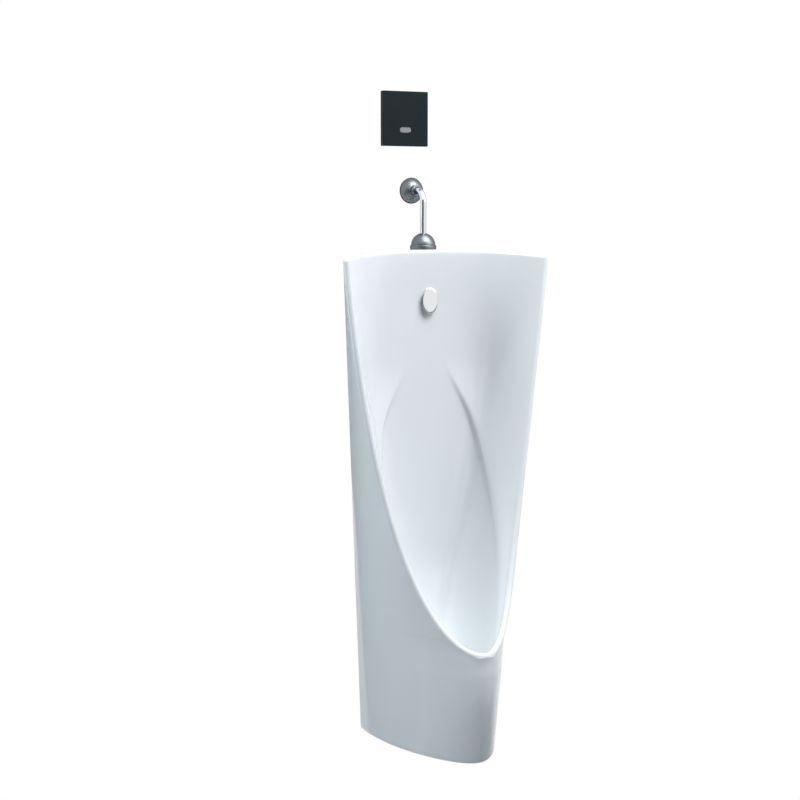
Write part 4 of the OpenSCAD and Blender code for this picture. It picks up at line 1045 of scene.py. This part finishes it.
def make_spud_cover():
    """The dome that hides the spud nut: a rounded base ring, a groove and a thin dome."""
    low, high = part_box("spud_cover")
    base, ring_r = low.z / MM, (high.x - low.x) / 2 / MM
    dome_r, dome_z = ring_r - 2, TOP_Z + 8
    inner_r, bore = dome_r - TRIM_T, PIPE_R + 0.3
    end = math.degrees(math.acos(bore / dome_r))
    inner_end = math.degrees(math.acos(bore / inner_r))
    profile = [(inner_r, base), (ring_r - 0.9, base)]
    profile += arc(ring_r - 0.9, base + 0.9, 0.9, -90, 0, 5)[1:]
    profile += arc(ring_r - 1.1, dome_z - 1.3, 1.1, 0, 90, 6)
    profile += [(dome_r + 0.25, dome_z - 0.2), (dome_r - 0.05, dome_z + 0.1)]
    profile += arc(0, dome_z, dome_r, 1.5, end, 44)
    profile += [(bore, dome_z + inner_r * math.sin(math.radians(inner_end)))]
    profile += arc(0, dome_z, inner_r, inner_end, 0, 30)[1:]
    profile += [(inner_r, base)]
    cover = closed_turn("spud_dome", profile, (0, -PIPE_D * MM, 0))
    place(cover, "spud_cover", "satin_chrome", "spud_cover")


def make_wall_dome():
    """The dome where the pipe enters the wall, with its flat rim on the tiles."""
    low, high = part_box("wall_escutcheon")
    rim_r, hole_r = (high.x - low.x) / 2 / MM, 11.0
    depth = WALL_DOME_D
    ball = ((rim_r - 1) ** 2 + depth ** 2) / (2 * depth)
    inner = ball - TRIM_T
    start = math.degrees(math.asin((ball - depth) / ball)) + 1.5
    end = math.degrees(math.acos(hole_r / ball))
    inner_start = math.degrees(math.asin((ball - depth) / inner))
    inner_end = math.degrees(math.acos(hole_r / inner))
    profile = [(rim_r - 3, 0), (rim_r - 0.3, 0), (rim_r, 0.35), (rim_r - 0.05, 0.8)]
    profile += [(rim_r - 0.5, 1.15)]
    profile += arc(0, depth - ball, ball, start, end - 0.8, 44)
    profile += [(hole_r, depth - ball + inner * math.sin(math.radians(inner_end)) + 0.6)]
    profile += arc(0, depth - ball, inner, inner_end, inner_start, 30)
    profile += [(rim_r - 3, 0)]
    dome = closed_turn("wall_dome", profile, (0, 0, PIPE_Z * MM), axis="Y")
    place(dome, "fixed", "satin_chrome", "wall_escutcheon")


def make_collar():
    """The short gland ring that closes the dome round the pipe."""
    low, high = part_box("collar_nut")
    radius, bore = (high.x - low.x) / 2 / MM, PIPE_R + 0.02
    front, back = -low.y / MM, -high.y / MM
    round_r = 1.3
    profile = [(bore, back), (radius, back), (radius, front - round_r)]
    profile += arc(radius - round_r, front - round_r, round_r, 0, 90, 6)[1:]
    profile += [(bore + 1.2, front), (bore + 0.5, front - 0.4), (bore, front - 1.0)]
    profile += [(bore, back)]
    collar = closed_turn("pipe_collar", profile, (0, 0, PIPE_Z * MM), axis="Y", sides=128)
    place(collar, "fixed", "satin_chrome", "collar_nut")


def make_spreader_cap():
    """The oval cap that spreads the rinse: a crowned face with a rolled edge on a short neck."""
    low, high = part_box("spreader_cap")
    front, neck_end = -low.y / MM, -high.y / MM
    cap_r, crown_r, neck_r, hub_r = 16.5, 15.6, 6.0, 0.03
    cap_t, crown, edge = 2.5, 0.35, 0.8
    rings = 14
    back, rim = front - cap_t, front - crown - edge
    profile = [(neck_r, neck_end), (neck_r, back), (cap_r - 1.1, back),
               (cap_r - 0.4, back + 0.25), (cap_r, rim - 0.1)]
    profile += arc(cap_r - edge, rim, edge, 0, 55, 5)[1:]
    for ring in range(1, rings):
        r = crown_r * (1 - ring / rings)
        profile.append((r, front - crown + crown * (1 - (r / crown_r) ** 2)))
    profile += [(hub_r, front), (hub_r, neck_end), (neck_r, neck_end)]
    cap = turned("oval_cap", [(r * MM, h * MM) for r, h in profile], (0, 0, 0), "Y", 128)
    wide = (high.x - low.x) / 2 / (cap_r * MM)
    cap.scale = (wide, 1, wide * (high.z - low.z) / (high.x - low.x))
    cap.location = at(0, 0, SPREADER_Z)
    apply_place(cap)
    clean(cap)
    smooth_by_angle(cap, 40)
    place(cap, "fixed", "chrome", "spreader_cap")


# The wall plate

def along_y(a, b):
    """Whether an edge runs along Y."""
    return abs(a.x - b.x) < 1e-6 and abs(a.z - b.z) < 1e-6


def pill_block(name, low, high):
    """A block along Y whose four long edges are rounded to half its height."""
    piece = block(name, low, high)
    bevel_edges(piece, along_y, (high[2] - low[2]) / 2 * 0.998, 14)
    return piece


def soften_front(piece, front, width, segments):
    """Bevel the edges round the front face of a piece."""
    bevel_edges(piece, lambda a, b: max(a.y, b.y) < front + 1e-6, width, segments)


def finish_flat(piece, angle):
    """Close a flat-faced piece and shade it so that only its rounded edges bend the light."""
    clean(piece, 0.000002)
    smooth_by_angle(piece, angle)
    modifier(piece, "WEIGHTED_NORMAL", keep_sharp=True, weight=100)


def make_cover_plate():
    """A pressed and painted plate with turned-back sides and a window."""
    low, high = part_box("cover_plate")
    lens_low, lens_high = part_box("sensor_lens")
    wall, face, past, gap = 2 * MM, 3 * MM, 1 * MM, 0.12 * MM
    plate = block("wall_plate", low, high)
    bevel_edges(plate, along_y, 2 * MM, 6)
    soften_front(plate, low.y, 0.7 * MM, 4)
    hollow = block("hollow", (low.x + wall, low.y + face, low.z + wall),
                   (high.x - wall, high.y + past, high.z - wall))
    window = pill_block("window", (lens_low.x - gap, low.y - past, lens_low.z - gap),
                        (lens_high.x + gap, high.y + past, lens_high.z + gap))
    cut(plate, hollow, window)
    finish_flat(plate, 35)
    place(plate, "cover", "black_satin", "cover_plate")


def make_sensor_window():
    """The tinted window of the sensor, with a fine round edge."""
    low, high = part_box("sensor_lens")
    lens = pill_block("window_pill", low, high)
    soften_front(lens, low.y, 0.35 * MM, 3)
    finish_flat(lens, 40)
    place(lens, "cover", "grey_window", "sensor_lens")


# Node groups that several finishes share

FLOAT, COLOUR, VECTOR = "NodeSocketFloat", "NodeSocketColor", "NodeSocketVector"


def node_group(name, inputs, output, steps, links):
    """A group from its sockets, its nodes with their settings, and its links."""
    tree = bpy.data.node_groups.new(name, "ShaderNodeTree")
    for label, kind, value in (("Place", VECTOR, None), *inputs):
        socket = tree.interface.new_socket(label, in_out="INPUT", socket_type=kind)
        if value is not None:
            socket.default_value = value
    tree.interface.new_socket(output[0], in_out="OUTPUT", socket_type=output[1])
    nodes = {"in": tree.nodes.new("NodeGroupInput"), "out": tree.nodes.new("NodeGroupOutput")}
    for key, kind, settings, values in steps:
        nodes[key] = tree.nodes.new(kind)
        for setting, value in settings.items():
            setattr(nodes[key], setting, value)
        for label, value in values.items():
            nodes[key].inputs[label].default_value = value
    for source, leaving, target, entering in links:
        tree.links.new(nodes[source].outputs[leaving], nodes[target].inputs[entering])
    return tree


GROUPS = {
    # Soft drift between two tones, in clouds of a given size
    "cloud": node_group(
        "tone_drift",
        [("Size", FLOAT, 8.0), ("Colour", COLOUR, None), ("Second", COLOUR, None)],
        ("Colour", COLOUR),
        [("cloud", "ShaderNodeTexNoise", {}, {"Detail": 4}),
         ("blend", "ShaderNodeMix", {"data_type": "RGBA"}, {})],
        [("in", "Place", "cloud", "Vector"), ("in", "Size", "cloud", "Scale"),
         ("cloud", "Fac", "blend", "Factor"), ("in", "Colour", "blend", "A"),
         ("in", "Second", "blend", "B"), ("blend", "Result", "out", "Colour")]),
    # A value that drifts between two limits, in spots of a given size
    "span": node_group(
        "drifting_value",
        [("Size", FLOAT, 20.0), ("Low", FLOAT, 0.1), ("High", FLOAT, 0.2)],
        ("Value", FLOAT),
        [("spots", "ShaderNodeTexNoise", {}, {"Detail": 6}),
         ("span", "ShaderNodeMapRange", {}, {"From Min": 0.3, "From Max": 0.7})],
        [("in", "Place", "spots", "Vector"), ("in", "Size", "spots", "Scale"),
         ("spots", "Fac", "span", "Value"), ("in", "Low", "span", "To Min"),
         ("in", "High", "span", "To Max"), ("span", "Result", "out", "Value")]),
    # Height of a fine grain over broad, slow waves
    "grain": node_group(
        "grain_and_waves",
        [("Grain Size", FLOAT, 600.0), ("Wave Size", FLOAT, 30.0), ("Grain", FLOAT, 0.3)],
        ("Height", FLOAT),
        [("waves", "ShaderNodeTexNoise", {}, {"Detail": 2}),
         ("grain", "ShaderNodeTexNoise", {}, {"Detail": 3}),
         ("blend", "ShaderNodeMix", {}, {})],
        [("in", "Place", "waves", "Vector"), ("in", "Place", "grain", "Vector"),
         ("in", "Wave Size", "waves", "Scale"), ("in", "Grain Size", "grain", "Scale"),
         ("in", "Grain", "blend", "Factor"), ("waves", "Fac", "blend", "A"),
         ("grain", "Fac", "blend", "B"), ("blend", "Result", "out", "Height")]),
    # Fine tool lines: noise drawn out along the directions that have a small scale
    "lines": node_group(
        "tool_lines",
        [("Scale", VECTOR, (40.0, 40.0, 2500.0))],
        ("Height", FLOAT),
        [("stretch", "ShaderNodeVectorMath", {"operation": "MULTIPLY"}, {}),
         ("lines", "ShaderNodeTexNoise", {}, {"Scale": 1.0, "Detail": 3})],
        [("in", "Place", "stretch", 0), ("in", "Scale", "stretch", 1),
         ("stretch", 0, "lines", "Vector"), ("lines", "Fac", "out", "Height")]),
    # Zinc flowers: flat cells, each with its own tone
    "spangle": node_group(
        "zinc_spangle",
        [("Size", FLOAT, 220.0), ("Dark", COLOUR, None), ("Light", COLOUR, None)],
        ("Colour", COLOUR),
        [("cells", "ShaderNodeTexVoronoi", {}, {}),
         ("blend", "ShaderNodeMix", {"data_type": "RGBA"}, {}),
         ("split", "ShaderNodeSeparateColor", {}, {})],
        [("in", "Place", "cells", "Vector"), ("in", "Size", "cells", "Scale"),
         ("cells", "Color", "split", "Color"), ("split", "Red", "blend", "Factor"),
         ("in", "Dark", "blend", "A"), ("in", "Light", "blend", "B"),
         ("blend", "Result", "out", "Colour")]),
}


# Finishes

def make_finish(name, settings, tones, rough, relief, depth):
    """A material with a pattern of two tones, a drifting roughness and a fine relief."""
    material = bpy.data.materials.new(name)
    material.use_nodes = True
    nodes, links = material.node_tree.nodes, material.node_tree.links
    shader = nodes["Principled BSDF"]
    bump = nodes.new("ShaderNodeBump")
    place_on = nodes.new("ShaderNodeTexCoord").outputs["Object"]
    for label, value in settings.items():
        shader.inputs[label].default_value = value
    bump.inputs["Strength"].default_value, bump.inputs["Distance"].default_value = depth
    wanted = ((tones, shader.inputs["Base Color"]), (("span", *rough), shader.inputs["Roughness"]),
              (relief, bump.inputs["Height"]))
    for (kind, *values), target in wanted:
        node = nodes.new("ShaderNodeGroup")
        node.node_tree = GROUPS[kind]
        links.new(place_on, node.inputs["Place"])
        for socket, value in zip(node.inputs[1:], values, strict=True):
            socket.default_value = rgba(value) if socket.type == "RGBA" else value
        links.new(node.outputs[0], target)
    links.new(bump.outputs["Normal"], shader.inputs["Normal"])
    return material


METAL, COAT = {"Metallic": 1.0}, {"Coat Weight": 0.3}

# Each finish: its shader's settings, its pattern with the size and two tones, the size and the
# limits of its roughness, its relief with the sizes, and the relief's strength and depth
FINISH_ROWS = {
    # White glaze: a smooth coat that lies in slow waves over a slightly cloudy body
    "vitreous_china": (
        {"IOR": 1.5, "Specular IOR Level": 0.5}, ("cloud", 3.5, CHINA_WHITE, CHINA_CLOUD),
        (9, 0.07, 0.13), ("grain", 900, 26, 0.05), (0.12, 0.0012)),
    "chrome": (
        {**METAL, "Specular Tint": (0.2, 0.23, 0.26, 1)},
        ("cloud", 30, (0.80, 0.825, 0.85), (0.75, 0.775, 0.80)),
        (90, 0.03, 0.06), ("lines", (900, 900, 8)), (0.008, 0.00001)),
    "satin_chrome": (
        {**METAL, "Specular Tint": (0.35, 0.4, 0.45, 1)},
        ("cloud", 40, (0.21, 0.235, 0.25), (0.175, 0.195, 0.21)),
        (120, 0.36, 0.42), ("grain", 2600, 40, 0.85), (0.03, 0.00002)),
    # Black paint with a fine orange-peel skin
    "black_satin": (
        {"Specular IOR Level": 0.06},
        ("cloud", 25, (0.0085, 0.0135, 0.0165), (0.0115, 0.0175, 0.0205)),
        (60, 0.30, 0.42), ("grain", 1500, 240, 0.55), (0.15, 0.00012)),
    "grey_window": (
        {**COAT, "Coat Roughness": 0.05},
        ("cloud", 200, (0.125, 0.135, 0.155), (0.15, 0.16, 0.18)),
        (300, 0.16, 0.24), ("grain", 3000, 400, 0.5), (0.05, 0.00005)),
    "infrared_lens": (
        {"Coat Weight": 0.8, "Coat Roughness": 0.03},
        ("cloud", 300, (0.035, 0.018, 0.032), (0.05, 0.025, 0.045)),
        (400, 0.08, 0.14), ("grain", 3000, 500, 0.4), (0.04, 0.00004)),
    "galvanised_steel": (
        METAL, ("spangle", 150, (0.42, 0.44, 0.46), (0.66, 0.68, 0.70)),
        (90, 0.28, 0.48), ("grain", 1200, 160, 0.5), (0.2, 0.0002)),
    # Lines round the piece
    "stainless_steel": (
        METAL, ("cloud", 60, (0.60, 0.61, 0.63), (0.52, 0.53, 0.55)),
        (140, 0.18, 0.30), ("lines", (60, 2200, 2200)), (0.2, 0.00006)),
    "brass": (
        METAL, ("cloud", 45, (0.72, 0.52, 0.24), (0.58, 0.40, 0.18)),
        (110, 0.22, 0.38), ("lines", (60, 60, 1800)), (0.25, 0.00008)),
    "nylon_grey": (
        {"Subsurface Weight": 0.05}, ("cloud", 70, (0.36, 0.37, 0.39), (0.42, 0.43, 0.45)),
        (150, 0.42, 0.55), ("grain", 1800, 260, 0.6), (0.25, 0.00012)),
    "white_plastic": (
        {}, ("cloud", 30, (0.80, 0.80, 0.78), (0.74, 0.74, 0.72)),
        (80, 0.26, 0.38), ("grain", 1600, 200, 0.55), (0.18, 0.00012)),
    "black_plastic": (
        {}, ("cloud", 60, (0.028, 0.030, 0.033), (0.040, 0.042, 0.046)),
        (120, 0.40, 0.55), ("grain", 1900, 260, 0.7), (0.35, 0.00015)),
    "rubber": (
        {}, ("cloud", 90, (0.022, 0.022, 0.024), (0.045, 0.044, 0.044)),
        (160, 0.62, 0.80), ("grain", 1400, 300, 0.6), (0.4, 0.0002)),
    # The printed film round a cell, left plain
    "battery_sleeve": (
        {**COAT, "Coat Roughness": 0.1}, ("cloud", 50, (0.09, 0.15, 0.09), (0.13, 0.19, 0.12)),
        (120, 0.22, 0.32), ("grain", 1500, 180, 0.3), (0.1, 0.0001)),
}
FINISHES = {name: make_finish(name, *row) for name, row in FINISH_ROWS.items()}


def give(obj, material):
    """Put a material in every slot of an object."""
    if not obj.material_slots:
        obj.data.materials.append(material)
    for slot in obj.material_slots:
        slot.material = material


def dress_nodes():
    """Give every CAD node that stays in view the finish of its slot."""
    parts = {part["node"]: part["material_slot"] for part in frame["record"]["subparts"]}
    for name, node in frame["nodes"].items():
        give(node, FINISHES[parts[name]])


def place(piece, body, slot, *nodes):
    """Give a new piece its finish, hang it on the body it moves with, and hide the nodes it takes
    the place of.
    """
    give(piece, FINISHES[slot])
    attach(piece, body)
    if nodes:
        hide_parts(*nodes)


make_camera()
make_world()
make_stage()
make_lamps()
bpy.context.scene.view_settings.view_transform = "Standard"
dress_nodes()
make_ceramic()
make_flush_pipe()
make_spud_cover()
make_wall_dome()
make_collar()
make_spreader_cap()
make_cover_plate()
make_sensor_window()
deselect_all()
